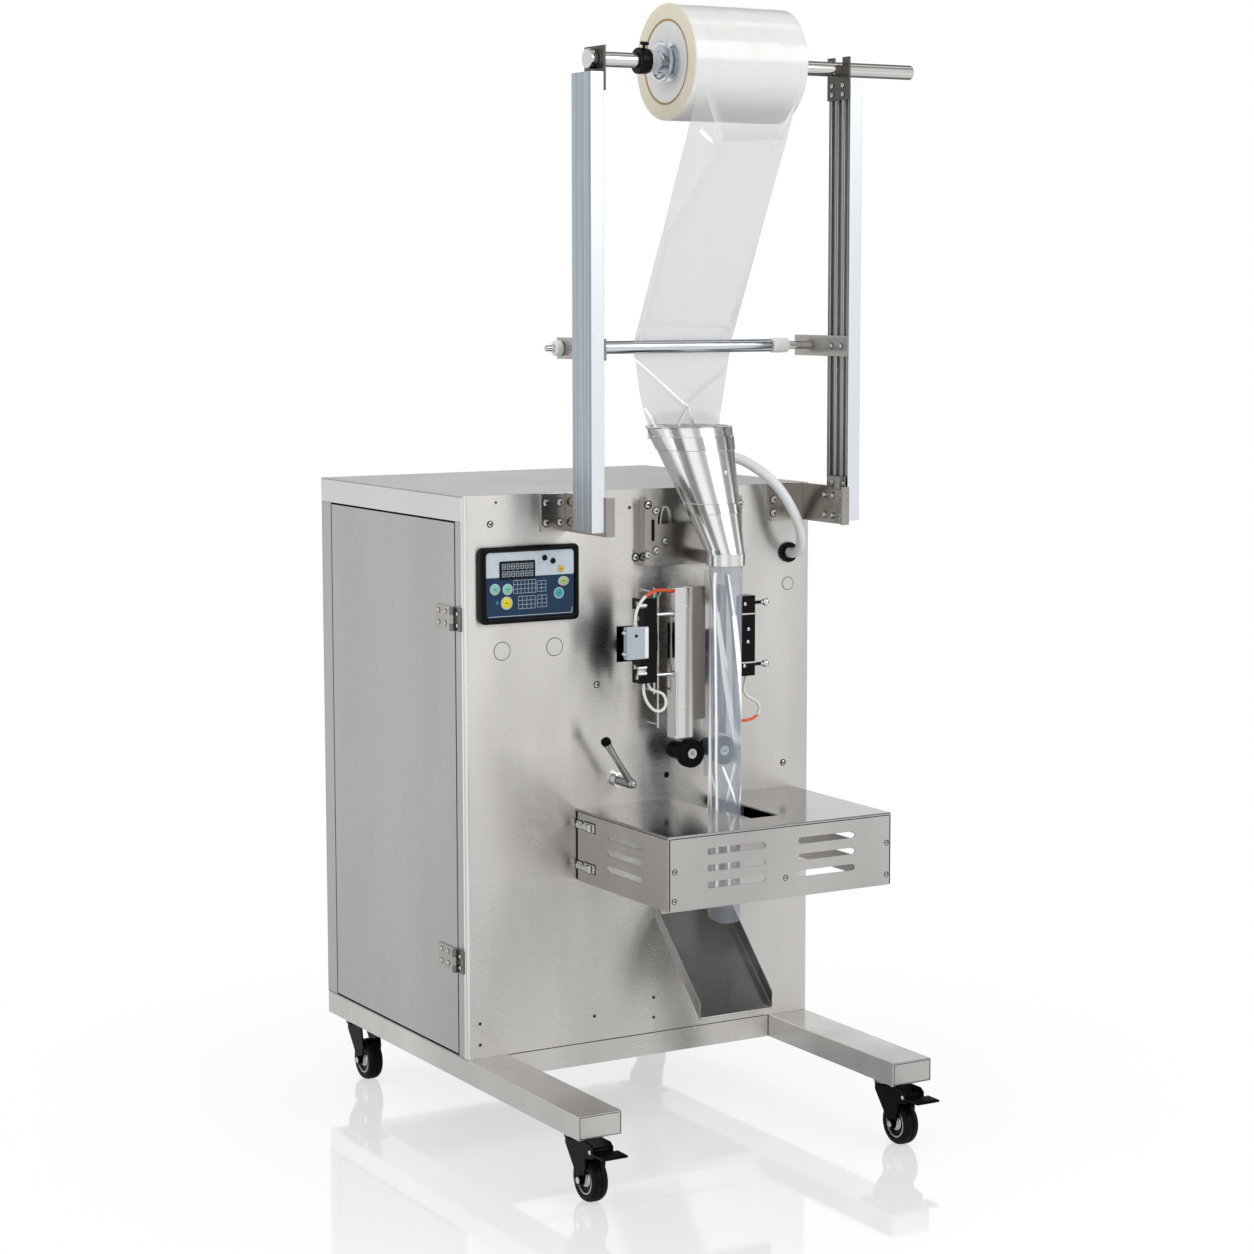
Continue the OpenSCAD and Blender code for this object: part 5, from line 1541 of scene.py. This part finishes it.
    def add_fixings(self, shop: Workshop) -> None:
        """Bolts of the arms, screws of the brackets, thumb screws of the collars."""
        flange = [(156, -4, 1062), (156, -4, 1096), (183, -4, 1062), (183, -4, 1096),
                  (614, -4, 1060), (614, -4, 1084)]
        through = [(197, y, z) for y in (-118, -92) for z in (1060, 1096)]
        inner = [(675, y, z) for y in (-127, -99, -74) for z in (1060, 1095)]
        top = [(675, y, z) for y in (-120, -88) for z in (1785, 1800)]
        foot = [(674.6, y, 1118) for y in (-132, -98)]
        guide = [(675, -120, 1355), (675, -92, 1355)]
        left = [(197, -118, 1785), (197, -118, 1800), (197, -92, 1792)]
        shop.fasten("stand_bolts", [
            (Head.HEX, 5.4, Axis.FRONT, flange), (Head.NUT, 4.6, Axis.RIGHT, through),
            (Head.NUT, 4.2, Axis.LEFT, inner), (Head.PAN, 4.4, Axis.LEFT, top + foot + guide),
            (Head.PAN, 4.4, Axis.RIGHT, left)])
        pad = block((672.8, -138, 1106), (675, -84, 1130), 1.5)
        shop.make("post_foot_plate", pad, Look.BRACKET)
        knobs = []
        for x in (283, 571):
            stem = rod(2.4, 9, 0.4, 20).moved(0, 0, 20.5)
            wing = Shell.joined([rod(4.6, 5.0, 1.2, 24).moved(-3.4), rod(4.6, 5.0, 1.2, 24)
                                 .moved(3.4)]).moved(0, 0, 27)
            knobs.append(Shell.joined([stem, wing]).turned("X", 20)
                         .moved(x, self.axis_y, self.axis_z))
        shop.make("collar_thumb_screws", knobs, Look.PLASTIC)
        # The slot is a dark plate: painted shade inside it.
        slot = slab(rounded_outline(11, 4.6, 2.2, 5), 0.5, 0.1).turned("Z", 90)
        shop.make("shaft_bracket_slot", slot.turned("Y", -90).moved(178.8, -92, 1797),
                  Look.SHADE_AND_JOINT_BLACK)


@dataclass
class Forming:
    """The leaning funnel with its bands, its bracket, and the film tube under it."""

    rim: Point = (440.0, 0.0, 1218.0, 75.0)
    spout: Point = (445.0, -113.0, 1005.0, 32.0)
    ring_foot: float = 985.0
    wall: float = 1.5

    def build(self, shop: Workshop) -> None:
        """Builds the funnel, its bracket's details, and the tube."""
        self.add_funnel(shop)
        shop.rounded("funnel_bracket", Look.BRACKET, 0.8)
        self.add_bracket_details(shop)
        self.add_tube(shop)

    def cone(self, t: np.ndarray, angle: np.ndarray, proud: float = 0.0) -> np.ndarray:
        """Points of the oblique cone: level circles whose centre and radius run from rim to spout.

        Args:
            t: 0 at the rim, 1 at the spout, an array.
            angle: the angle round the circle, an array.
            proud: how far outside the cone the points lie.

        Returns:
            An array of shape (t, angle, 3).
        """
        first, last = np.array(self.rim), np.array(self.spout)
        level = first + (last - first) * t[:, None]
        radius = level[:, 3][:, None] + proud
        return np.stack([level[:, 0][:, None] + radius * np.cos(angle),
                         level[:, 1][:, None] + radius * np.sin(angle),
                         np.repeat(level[:, 2][:, None], len(angle), 1)], -1)

    def band(self, start: float, end: float, rise: float = 1.6) -> Shell:
        """A raised strip round the cone between two values of t, with turned edges."""
        angle = np.arange(96) * 2 * math.pi / 96
        t = np.r_[start, start, np.linspace(start + 0.004, end - 0.004, 8), end, end]
        proud = np.r_[0.0, rise * 0.5, np.full(8, rise), rise * 0.5, 0.0]
        rows = [self.cone(t[i:i + 1], angle, proud[i]) for i in range(12)]
        return surface(np.concatenate(rows), looped=True)

    def add_funnel(self, shop: Workshop) -> None:
        """The cone's outside, the ring under it and its inside make one closed wall."""
        angle = np.arange(120) * 2 * math.pi / 120
        t = np.linspace(0, 1, 60)
        outer = self.cone(t, angle)
        inner = self.cone(t[::-1], angle, -self.wall)
        drop = np.array([0, 0, self.ring_foot - self.spout[2]])
        shell = surface(np.concatenate([outer, outer[-1:] + drop, inner[:1] + drop, inner,
                                        outer[:1]]), looped=True)
        shop.make("forming_funnel_skin", shell, Look.FUNNEL,
                  replaces=["forming_funnel"])
        collar = ringed(self.spout[3] + 1.4, self.spout[3] - 0.2, self.ring_foot,
                        self.spout[2] + 1.5, 0.5, 72).moved(*self.spout[:2], 0)
        lip = np.radians(np.linspace(0, 360, 121))[:-1]
        rolled = 1.5 * np.stack([np.cos(np.arange(10) * 0.628),
                                 np.sin(np.arange(10) * 0.628)], -1)
        edge = self.cone(np.array([0.0]), lip, -0.6)[0]
        bead = np.stack([edge + np.c_[offset[0] * np.cos(lip), offset[0] * np.sin(lip),
                                      np.full(120, offset[1] - 1.0)] for offset in rolled])
        parts = [self.band(0.075, 0.185), self.band(0.60, 0.685), collar,
                 surface(bead, around=True, looped=True)]
        shop.make("funnel_bands", parts, Look.BAND, smooth_under=12.0)
        strip_t = np.linspace(0.01, 0.995, 60)
        low = math.radians(208)
        width = np.array([-0.022, -0.02, 0.02, 0.022])
        rise = np.array([0.0, 1.1, 1.1, 0.0])
        columns = [self.cone(strip_t, np.array([low + w * 1.6]), h)
                   for w, h in zip(width, rise)]
        seam = surface(np.concatenate(columns, 1))
        tab_angle = np.linspace(math.radians(196), math.radians(222), 9)
        tab = surface(self.cone(np.array([0.965, 1.0]), tab_angle, 4.2))
        root = surface(np.concatenate([self.cone(np.array([0.965]), tab_angle, 0.2),
                                       self.cone(np.array([0.965]), tab_angle, 4.2)]))
        shop.make("funnel_seam", [seam, tab, root], Look.BAND, closed=False)
        where = self.cone(np.array([0.353]), np.array([math.radians(-78)]), 0.2)[0, 0]
        rivet = screw(Head.PAN, 4.2).turned("X", 82).turned("Z", 12).moved(*where)
        shop.make("funnel_rivet", rivet, Look.CHROME)

    def add_bracket_details(self, shop: Workshop) -> None:
        """The bridge's bolts, the mark of its slot and the curved tab behind its arm."""
        shop.fasten("bracket_bolts", [
            (Head.HEX, 5.2, Axis.FRONT, [
                (362, -20, 1075), (362, -20, 1007), (381, -20, 1022), (533, -20, 1080),
                (533, -20, 999), (345, -20, 1000)]),
            (Head.BUTTON, 6.0, Axis.FRONT, [
                (346, -20, 1086), (333, 0, 995), (517, -20, 1084)])])
        # The slot is a dark plate: painted shade inside it.
        slot = slab(rounded_outline(6, 38, 2.9, 6), 0.4, 0.1).pointing(Axis.FRONT)
        shop.make("bracket_slot", slot.moved(356, -20, 1042), Look.SHADE_AND_JOINT_BLACK)
        arch = np.linspace(0, math.pi, 18)
        wave = np.stack([382 + 11 * np.cos(arch), np.full(18, -16.0),
                         1052 + 30 * np.sin(arch)], -1)
        tab = carried(wave, np.array([(-1, -4), (1, -4), (1, 4), (-1, 4)]) * 0.9)
        shop.make("bracket_curved_tab", tab, Look.BRIGHT, smooth_under=50.0)

    def add_tube(self, shop: Workshop) -> None:
        """The film tube: radius = 30 less long folds that turn slowly round it as they fall.

        Each fold is depth * exp(-(angle from its line / width) ^ 2), and its line is at an
        angle that moves with the height. The foot is cut in a slanting curve.
        """
        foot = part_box("film_tube")[0][2] / MM
        t = np.linspace(0, 1, 140)[:, None]
        angle = np.linspace(0, 2 * math.pi, 97)[None, :-1]
        height = 1001 - t * (1001 - foot) * np.ones((1, 96))
        folds = ((205, 60, 3.2, 0.30), (262, 62, 3.6, 0.34), (318, 30, 2.6, 0.30),
                 (20, 40, 3.0, 0.3), (90, -30, 3.0, 0.3), (150, 40, 3.0, 0.3))
        dip = sum(depth * np.exp(-(np.sin((angle - np.radians(where + turn * t)) / 2)
                                   * 2 / wide) ** 2) for where, turn, depth, wide in folds)
        radius = 30.0 - dip * smooth(t * 9)
        slant = smooth((t - 0.93) / 0.07)
        rise = slant * 16 * (1 - np.cos(angle - math.radians(250))) / 2
        nip = 1 - 0.10 * smooth(1 - np.abs(height - 654) / 60)
        shell = surface(np.stack([445 + radius * np.cos(angle),
                                  -113 + radius * nip * np.sin(angle), height + rise], -1),
                        looped=True)
        grid_y, grid_z = np.meshgrid(np.linspace(-84.0, -41.5, 8), np.linspace(611, 972, 60),
                                     indexing="ij")
        fin = surface(np.stack([445 + 0.8 * np.sin(grid_z / 19) * (grid_y + 84) / 43,
                                grid_y, grid_z], -1))
        shop.make("film_tube_sleeve", [shell, fin], Look.TUBE, smooth_under=50.0,
                  replaces=["film_tube"], closed=False)


@dataclass
class SealStation:
    """The jaws, their carriers, rods and screws, the pull rollers and the hand lever."""

    lever: Point = (293.0, -52.0, 611.0)
    lean: float = 33.0
    reach: float = 92.0
    nip: Point = (654.0, 25.0)

    def build(self, shop: Workshop) -> None:
        """Softens the bars and adds the small metal that the photograph shows."""
        for node, finish, width in (
                ("left_seal_bar", Look.BRIGHT, 0.7), ("right_seal_bar", Look.BRIGHT, 0.7),
                ("left_seal_face", Look.BRONZE, 0.5),
                ("right_seal_face", Look.BRONZE, 0.5),
                ("left_jaw_carrier", Look.PLASTIC, 1.4),
                ("right_jaw_carrier", Look.PLASTIC, 1.2),
                ("clamp_block", Look.BLOCK, 0.9), ("jaw_guide", Look.DARK, 0.6),
                ("roller_housings", Look.BLACK, 1.2), ("lever_boss", Look.CHROME, 2.0),
                ("hose_grommet", Look.PLASTIC, 1.2)):
            shop.rounded(node, finish, width)
        self.add_left(shop)
        self.add_right(shop)
        self.add_rollers(shop)
        self.add_lever(shop)
        self.add_guides(shop)

    def add_left(self, shop: Workshop) -> None:
        """Rods and nuts between the left carrier and its bar, its flange and cross screws."""
        rods = [rod(3.4, 43, 0.4, 24).pointing(Axis.RIGHT, 324, -67, z)
                for z in (798, 902)]
        nuts = [screw(Head.NUT, 5.0).pointing(Axis.LEFT, 367, -67, z)
                for z in (798, 902)]
        caps = screws(Head.BUTTON, 4.6, Axis.LEFT,
                      [(290, -78, 924), (290, -78, 798), (290, -70, 815), (298, -68, 898)])
        lip = block((367, -77.5, 690), (371, -75, 800), 0.6)
        clips = [block((284, -92, z), (300, -86.6, z + 9), 1.4) for z in (804, 917)]
        clips += [rod(3.2, 18, 0.8, 20).pointing(Axis.LEFT, 300, -92, z)
                  for z in (806, 816, 922)]
        shop.make("left_jaw_hardware", rods + nuts + clips + [caps, lip], Look.BRIGHT,
                  "left_jaw")
        marks = screws(Head.PAN, 2.4, Axis.FRONT, [(390, -75, 914), (388, -75, 738)])
        shop.make("left_bar_pins", marks, Look.ZINC, "left_jaw")
        edge = block((292, -100.2, 834), (299.5, -98.8, 885), 0.4)
        shop.make("clamp_block_edge", edge, Look.WHITE, "left_jaw")
        # A dark disc: painted shade inside the hole.
        dot = rod(2.8, 0.5, 0.1, 24).pointing(Axis.FRONT, 276, -99, 872)
        shop.make("clamp_block_hole", dot, Look.SHADE_AND_JOINT_BLACK, "left_jaw")
        nib = [rod(4.0, 9, 0.8, 24).moved(277.6, -93, 887), rod(5.6, 3, 0.8, 24)
               .moved(277.6, -93, 887)]
        shop.make("clamp_block_gland", nib, Look.BRIGHT, "left_jaw")
        side = screws(Head.NUT, 4.0, Axis.LEFT, [(258, -93, 878), (258, -93, 842)])
        shop.make("clamp_block_nuts", side, Look.ZINC, "left_jaw")

    def add_right(self, shop: Workshop) -> None:
        """White bolts on the right carrier's face and the ball ends of its studs."""
        dots = screws(Head.BUTTON, 3.4, Axis.FRONT,
                      [(504, -83, 912), (511, -83, 868), (510, -83, 846), (503, -83, 804)])
        bars = [block((497, -83.8, z), (527, -82.6, z + 3), 0.4) for z in (893, 808)]
        ball = lathed([(0, 0), (3.4, 0), (3.4, 3), (5.4, 4.6), (7.2, 8), (7.2, 11.5), (5.0, 14.8),
                       (2.0, 15.8), (0, 16)], 32)
        ends = [ball.pointing(Axis.RIGHT, 544, -70, z) for z in (804, 912)]
        nuts = screws(Head.NUT, 4.6, Axis.RIGHT, [(525, -70, 804), (525, -70, 912)])
        shop.make("right_jaw_hardware", [dots, nuts] + bars + ends, Look.BRIGHT, "right_jaw")

    def add_rollers(self, shop: Workshop) -> None:
        """Each pull roller: a rubber disc with a rounded rim and a pale hub with a hex screw."""
        z, radius = self.nip
        rim = [(6.2, 0), (radius - 2.4, 0), (radius - 0.7, 0.7), (radius, 2.4), (radius, 14.6),
               (radius - 0.7, 16.3), (radius - 2.4, 17), (10.4, 17), (9.6, 15.6), (6.2, 15.6)]
        hub = [(0, 9), (7.4, 9), (8.8, 16.4), (8.2, 17.4), (5.4, 17.4), (5.0, 16.2), (0, 16.2)]
        for side, x in (("left", 412.0), ("right", 478.0)):
            body = "pull_roller_" + side
            tread = lathed(rim + [(6.2, 0)], 72).pointing(Axis.FRONT, x, -43, z)
            shop.make("roller_disc_" + side, tread, Look.RUBBER, body,
                      replaces=[body])
            ring = lathed(hub, 40).pointing(Axis.FRONT, x, -43, z)
            shop.make("roller_hub_" + side, ring, Look.MILK, body)
            bolt = [screw(Head.BUTTON, 3.6).pointing(Axis.FRONT, x, -59.2, z),
                    rod(5.9, 48, 0.6, 32).pointing(Axis.FRONT, x, -0.8, z)]
            shop.make("roller_bolt_" + side, bolt, Look.BRIGHT, body)

    def add_lever(self, shop: Workshop) -> None:
        """The lever: a hub with a cap, a waisted bar and a black ball at its end.

        The bar's radius is 5.2 + 1.2 (2 t - 1)^2 along its length.
        """
        x, y, z = self.lever
        hub = lathed([(0, 0), (8.2, 0), (9.0, 1.0), (9.0, 38), (7.6, 42.6), (5.0, 44.6),
                      (0, 45)], 40).pointing(Axis.FRONT, x, -15, z)
        t = np.linspace(0, 1, 30)
        way = np.array([-math.sin(math.radians(self.lean)), 0.0,
                        math.cos(math.radians(self.lean))])
        path = np.array([x, y, z]) + way * (5 + (self.reach - 14) * t[:, None])
        bar = carried(path, circle(1.0, 28), 5.2 + 1.2 * (2 * t - 1) ** 2)
        tip = np.array([x, y, z]) + way * (self.reach - 6)
        collar = lathed([(0, 0), (6.4, 0), (7.4, 1.0), (7.4, 4), (6.4, 5), (0, 5)], 32).turned(
            "Y", -self.lean).moved(*(tip - way * 4))
        # The bar, hub and collar take chrome painted dark: a painted dark reflection.
        shop.make("hand_lever_bar", [hub, bar, collar], Look.DARKENED_CHROME, "hand_lever",
                  replaces=["hand_lever"])
        knob = lathed([(0, 0), (7.4, 0), (8.6, 1.4), (8.6, 7), (6.6, 10.6), (3.2, 12.4),
                       (0, 12.6)], 36).turned("Y", -self.lean).moved(*(tip + way * 0.6))
        shop.make("hand_lever_knob", knob, Look.BLACK, "hand_lever")
        socket = screws(Head.BUTTON, 4.4, Axis.FRONT, [(x, -59.8, z)])
        shop.make("hand_lever_screw", socket, Look.BRIGHT, "hand_lever")

    def add_guides(self, shop: Workshop) -> None:
        """The thin upright rods behind the left bar with their feet, and a ring on one's top."""
        parts = []
        for x, y, low, high in ((350.0, -34.0, 760.0, 944.0), (360.0, -30.0, 700.0, 930.0)):
            for start, end, count in (((x, y, low), (x, y, high), 16),
                                      ((x, y, low + 6), (x, 0, low + 6), 6),
                                      ((x, y, high - 8), (x, 0, high - 8), 6)):
                parts.append(carried(np.linspace(start, end, count), circle(1.9, 14)))
        angle = np.linspace(0, 2 * math.pi, 25)[:-1]
        hoop = np.stack([360 + 5 * np.sin(angle), np.full(24, -30.0),
                         935 + 5 * np.cos(angle)], -1)
        tube = np.stack([hoop + offset[0] * np.stack([np.sin(angle), 0 * angle,
                                                      np.cos(angle)], -1)
                         + np.array([0, offset[1], 0]) for offset in circle(1.5, 10)])
        parts.append(surface(tube, around=True, looped=True))
        shop.make("seal_upright_rods", parts, Look.BRIGHT)


@dataclass
class Outfeed:
    """The guard box with its clasps, vents and screws, and the chute under it."""

    left: float = 215.0
    front: float = -305.0
    low: float = 442.0
    high: float = 567.0

    def build(self, shop: Workshop) -> None:
        """Softens the guard and the chute and adds the clasps and screws."""
        shop.rounded("guard_walls", Look.GUARD, 1.4)
        shop.rounded("guard_top", Look.LID, 1.2)
        shop.rounded("discharge_chute", Look.CHUTE, 1.4)
        self.add_shade_and_joint_lines(shop)
        shop.fasten("guard_screws", [(Head.BUTTON, 3.8, Axis.FRONT, [
            (444, self.front, 476), (227, self.front, 508), (226, self.front, 459),
            (650, self.front, 515), (650, self.front, 460)])])
        self.add_clasps(shop)

    def add_shade_and_joint_lines(self, shop: Workshop) -> None:
        """Dark strips of painted shade on the guard, and the dark joint at the panel."""
        x, y, low, high = self.left, self.front, self.low, self.high
        # Painted shade at the front's folded corners and under the top's edge; the joint at the
        # panel.
        lines = [block((x + 1.2, y - 0.3, low + 2), (x + 3.2, y, high - 4), 0.1),
                block((655.6, y - 0.3, low + 2), (657.2, y, high - 4), 0.1),
                block((x + 4, y - 0.3, high - 5.2), (655, y, high - 3.8), 0.1),
                block((x - 0.3, y + 4, high - 5.2), (x, -4, high - 3.8), 0.1),
                block((x - 0.3, -3.4, low + 2), (x, -0.6, high - 4), 0.1)]
        # Painted shade round each clasp's plate and hook.
        for z in (541.0, 470.0):
            lines += [block((x - 0.4, -64.5, z - 9), (x, -27.5, z + 9), 0.1),
                     block((x - 0.4, -22.5, z - 8), (x, -1.5, z + 8), 0.1)]
        shop.make("guard_shade_and_joint_lines", lines, Look.SHADE_AND_JOINT_BLACK)
        # Dark walls under the top's slot: painted shade inside the opening.
        flange = [block((409, -230, high - 20), (410, -2, high - 2.2), 0.1),
                  block((480, -230, high - 20), (481, -2, high - 2.2), 0.1),
                  block((410, -230, high - 20), (480, -229, high - 2.2), 0.1)]
        shop.make("guard_slot_shade_walls", flange, Look.DARK)

    def add_clasps(self, shop: Workshop) -> None:
        """Two toggle clasps on the left side: a plate, a wire link and a hook each."""
        parts, wires = [], []
        for z in (541.0, 470.0):
            plate = slab(rounded_outline(34, 15, 2, 4), 2.0, 0.5).turned("Z", 90)
            parts.append(plate.turned("Y", -90).moved(self.left, -46, z))
            hook = slab(rounded_outline(18, 13, 2, 4), 2.0, 0.5).turned("Z", 90)
            parts.append(hook.turned("Y", -90).moved(self.left, -12, z))
            parts.append(rod(3.2, 12, 0.6, 20).moved(self.left - 5.4, -52, z - 6))
            lever = slab(rounded_outline(26, 9, 3, 4), 2.6, 0.8).turned("Z", 90)
            parts.append(lever.turned("Y", -90).moved(self.left - 6.4, -42, z))
            parts.append(screws(Head.PAN, 2.4, Axis.LEFT, [(self.left - 2, -60, z),
                                                           (self.left - 2, -7, z)]))
            loop = rounded_outline(34, 9, 4.2, 6)
            path = np.c_[np.full(len(loop), self.left - 6.2), -26 + loop[:, 0], z + loop[:, 1]]
            centre = path.mean(0)
            way = path - centre
            way /= np.linalg.norm(way, axis=1)[:, None]
            tube = np.stack([path + offset[0] * way + np.array([offset[1], 0, 0])
                             for offset in circle(1.2, 8)])
            wires.append(surface(tube, around=True, looped=True))
        shop.make("guard_clasps", parts, Look.BRIGHT)
        shop.make("guard_clasp_links", wires, Look.CHROME)


@dataclass
class Casters:
    """Four swivel casters; the front two have brake pedals."""

    places: dict[str, tuple[float, float]] = field(default_factory=lambda: {
        "front_left": (40.0, -325.0), "front_right": (650.0, -325.0),
        "rear_left": (40.0, 508.0), "rear_right": (650.0, 508.0)})
    trail: float = 28.0
    axle: float = 37.5
    radius: float = 37.5
    half: float = 14.0

    def build(self, shop: Workshop) -> None:
        """Softens the forks and builds every wheel."""
        shop.rounded("caster_plates", Look.BLACK, 0.8)
        for name, (x, y) in self.places.items():
            shop.rounded("fork_" + name, Look.BLACK, 0.7)
            self.add_wheel(shop, name, x, y - self.trail)
            self.add_fittings(shop, name, x, y)
        for side, name in (("left", "front_left"), ("right", "front_right")):
            self.add_pedal(shop, side, *self.places[name])

    def add_wheel(self, shop: Workshop, name: str, x: float, y: float) -> None:
        """Tyre with a groove in its tread, a pressed steel rim and a hub.

        Each is a profile turned about the axle.
        """
        h, r = self.half, self.radius
        tread = [(25.5, -h + 2.6), (26.5, -h + 0.4), (30, -h), (r - 3, -h + 1.4),
                 (r - 0.8, -h + 5), (r, -h + 9), (r, -1.6), (r - 1.4, -0.9), (r - 1.4, 0.9),
                 (r, 1.6), (r, h - 9), (r - 0.8, h - 5), (r - 3, h - 1.4), (30, h),
                 (26.5, h - 0.4), (25.5, h - 2.6), (25.5, -h + 2.6)]
        tyre = lathed(tread, 80).pointing(Axis.RIGHT, x, y, self.axle)
        body = "wheel_" + name
        shop.make("tyre_" + name, tyre, Look.TYRE, body, replaces=[body])
        face = [(25.6, h - 3.4), (24.6, h - 1.8), (23.0, h - 1.6), (21.8, h - 4.4),
                (14.0, h - 6.2), (12.4, h - 3.6), (10.6, h - 3.2), (9.6, h - 4.6)]
        rim = lathed(face + [(r0, -h0) for r0, h0 in reversed(face)] + [face[0]], 64)
        dark = lathed([(21.9, h - 4.3), (21.9, h - 3.0), (14.0, h - 4.6), (14.0, h - 6.0),
                       (21.9, h - 4.3)], 64)
        shop.make("wheel_rim_" + name, rim.pointing(Axis.RIGHT, x, y, self.axle), Look.RIM,
                  body)
        pair = Shell.joined([dark.pointing(Axis.RIGHT), dark.pointing(Axis.LEFT)])
        shop.make("wheel_web_" + name, pair.moved(x, y, self.axle), Look.BLACK, body)
        hub = ringed(9.7, 4.4, -h - 0.9, h + 0.9, 0.7, 40).pointing(Axis.RIGHT)
        shop.make("wheel_hub_" + name, hub.moved(x, y, self.axle), Look.WHITE, body)

    def add_fittings(self, shop: Workshop, name: str, x: float, y: float) -> None:
        """The axle's bolt heads, and the swivel's race ring with four hex bolts under its plate."""
        ends = []
        for sign, axis in ((-1, Axis.LEFT), (1, Axis.RIGHT)):
            face = x + sign * 19.2
            ends.append(screw(Head.HEX, 6.4).pointing(axis, face, y - self.trail,
                                                                  self.axle))
        shop.make("fork_bolts_" + name, ends, Look.BRIGHT, "fork_" + name)
        race = ringed(30.2, 27.0, 104.4, 107.6, 1.2, 56).moved(x, y, 0)
        corners = [(x + dx, y + dy, 109.0) for dx in (-24, 24) for dy in (-38, 38)]
        bolts = screws(Head.HEX, 4.2, Axis.DOWN, corners)
        shop.make("caster_race_" + name, [race, bolts], Look.ZINC)

    def add_pedal(self, shop: Workshop, side: str, x: float, y: float) -> None:
        """The pedal's ribs: five low bars across it, and a silver rivet at its root."""
        body = "brake_pedal_" + side
        shop.rounded(body, Look.BLACK, 1.0)
        ribs = [block((x - 20, y - 105 + 5 * k, 93), (x + 20, y - 103 + 5 * k, 94.2), 0.4)
                for k in range(5)]
        shop.make("pedal_ribs_" + side, ribs, Look.BLACK, body)
        rivets = screws(Head.PAN, 3.8, Axis.LEFT, [(x - 19.2, y - 60, 91)])
        more = screws(Head.PAN, 3.8, Axis.RIGHT, [(x + 19.2, y - 60, 91)])
        shop.make("pedal_rivets_" + side, [rivets, more], Look.BRIGHT, "fork_front_" + side)


def main() -> None:
    """Builds the camera, the cords, the studio and every sub-assembly, and logs the pieces made."""
    logging.basicConfig(level=logging.INFO, format="%(message)s")
    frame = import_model()
    shop = Workshop(frame)
    Viewpoint().build()
    Cords().build(shop)
    Studio().build()
    for assembly in (Cabinet(), Keypad(), ReelStand(), Forming(), SealStation(), Outfeed(),
                     Casters()):
        LOG.info("%s", type(assembly).__name__)
        assembly.build(shop)
    LOG.info("%d pieces made", shop.made)


if __name__ == "__main__":
    main()
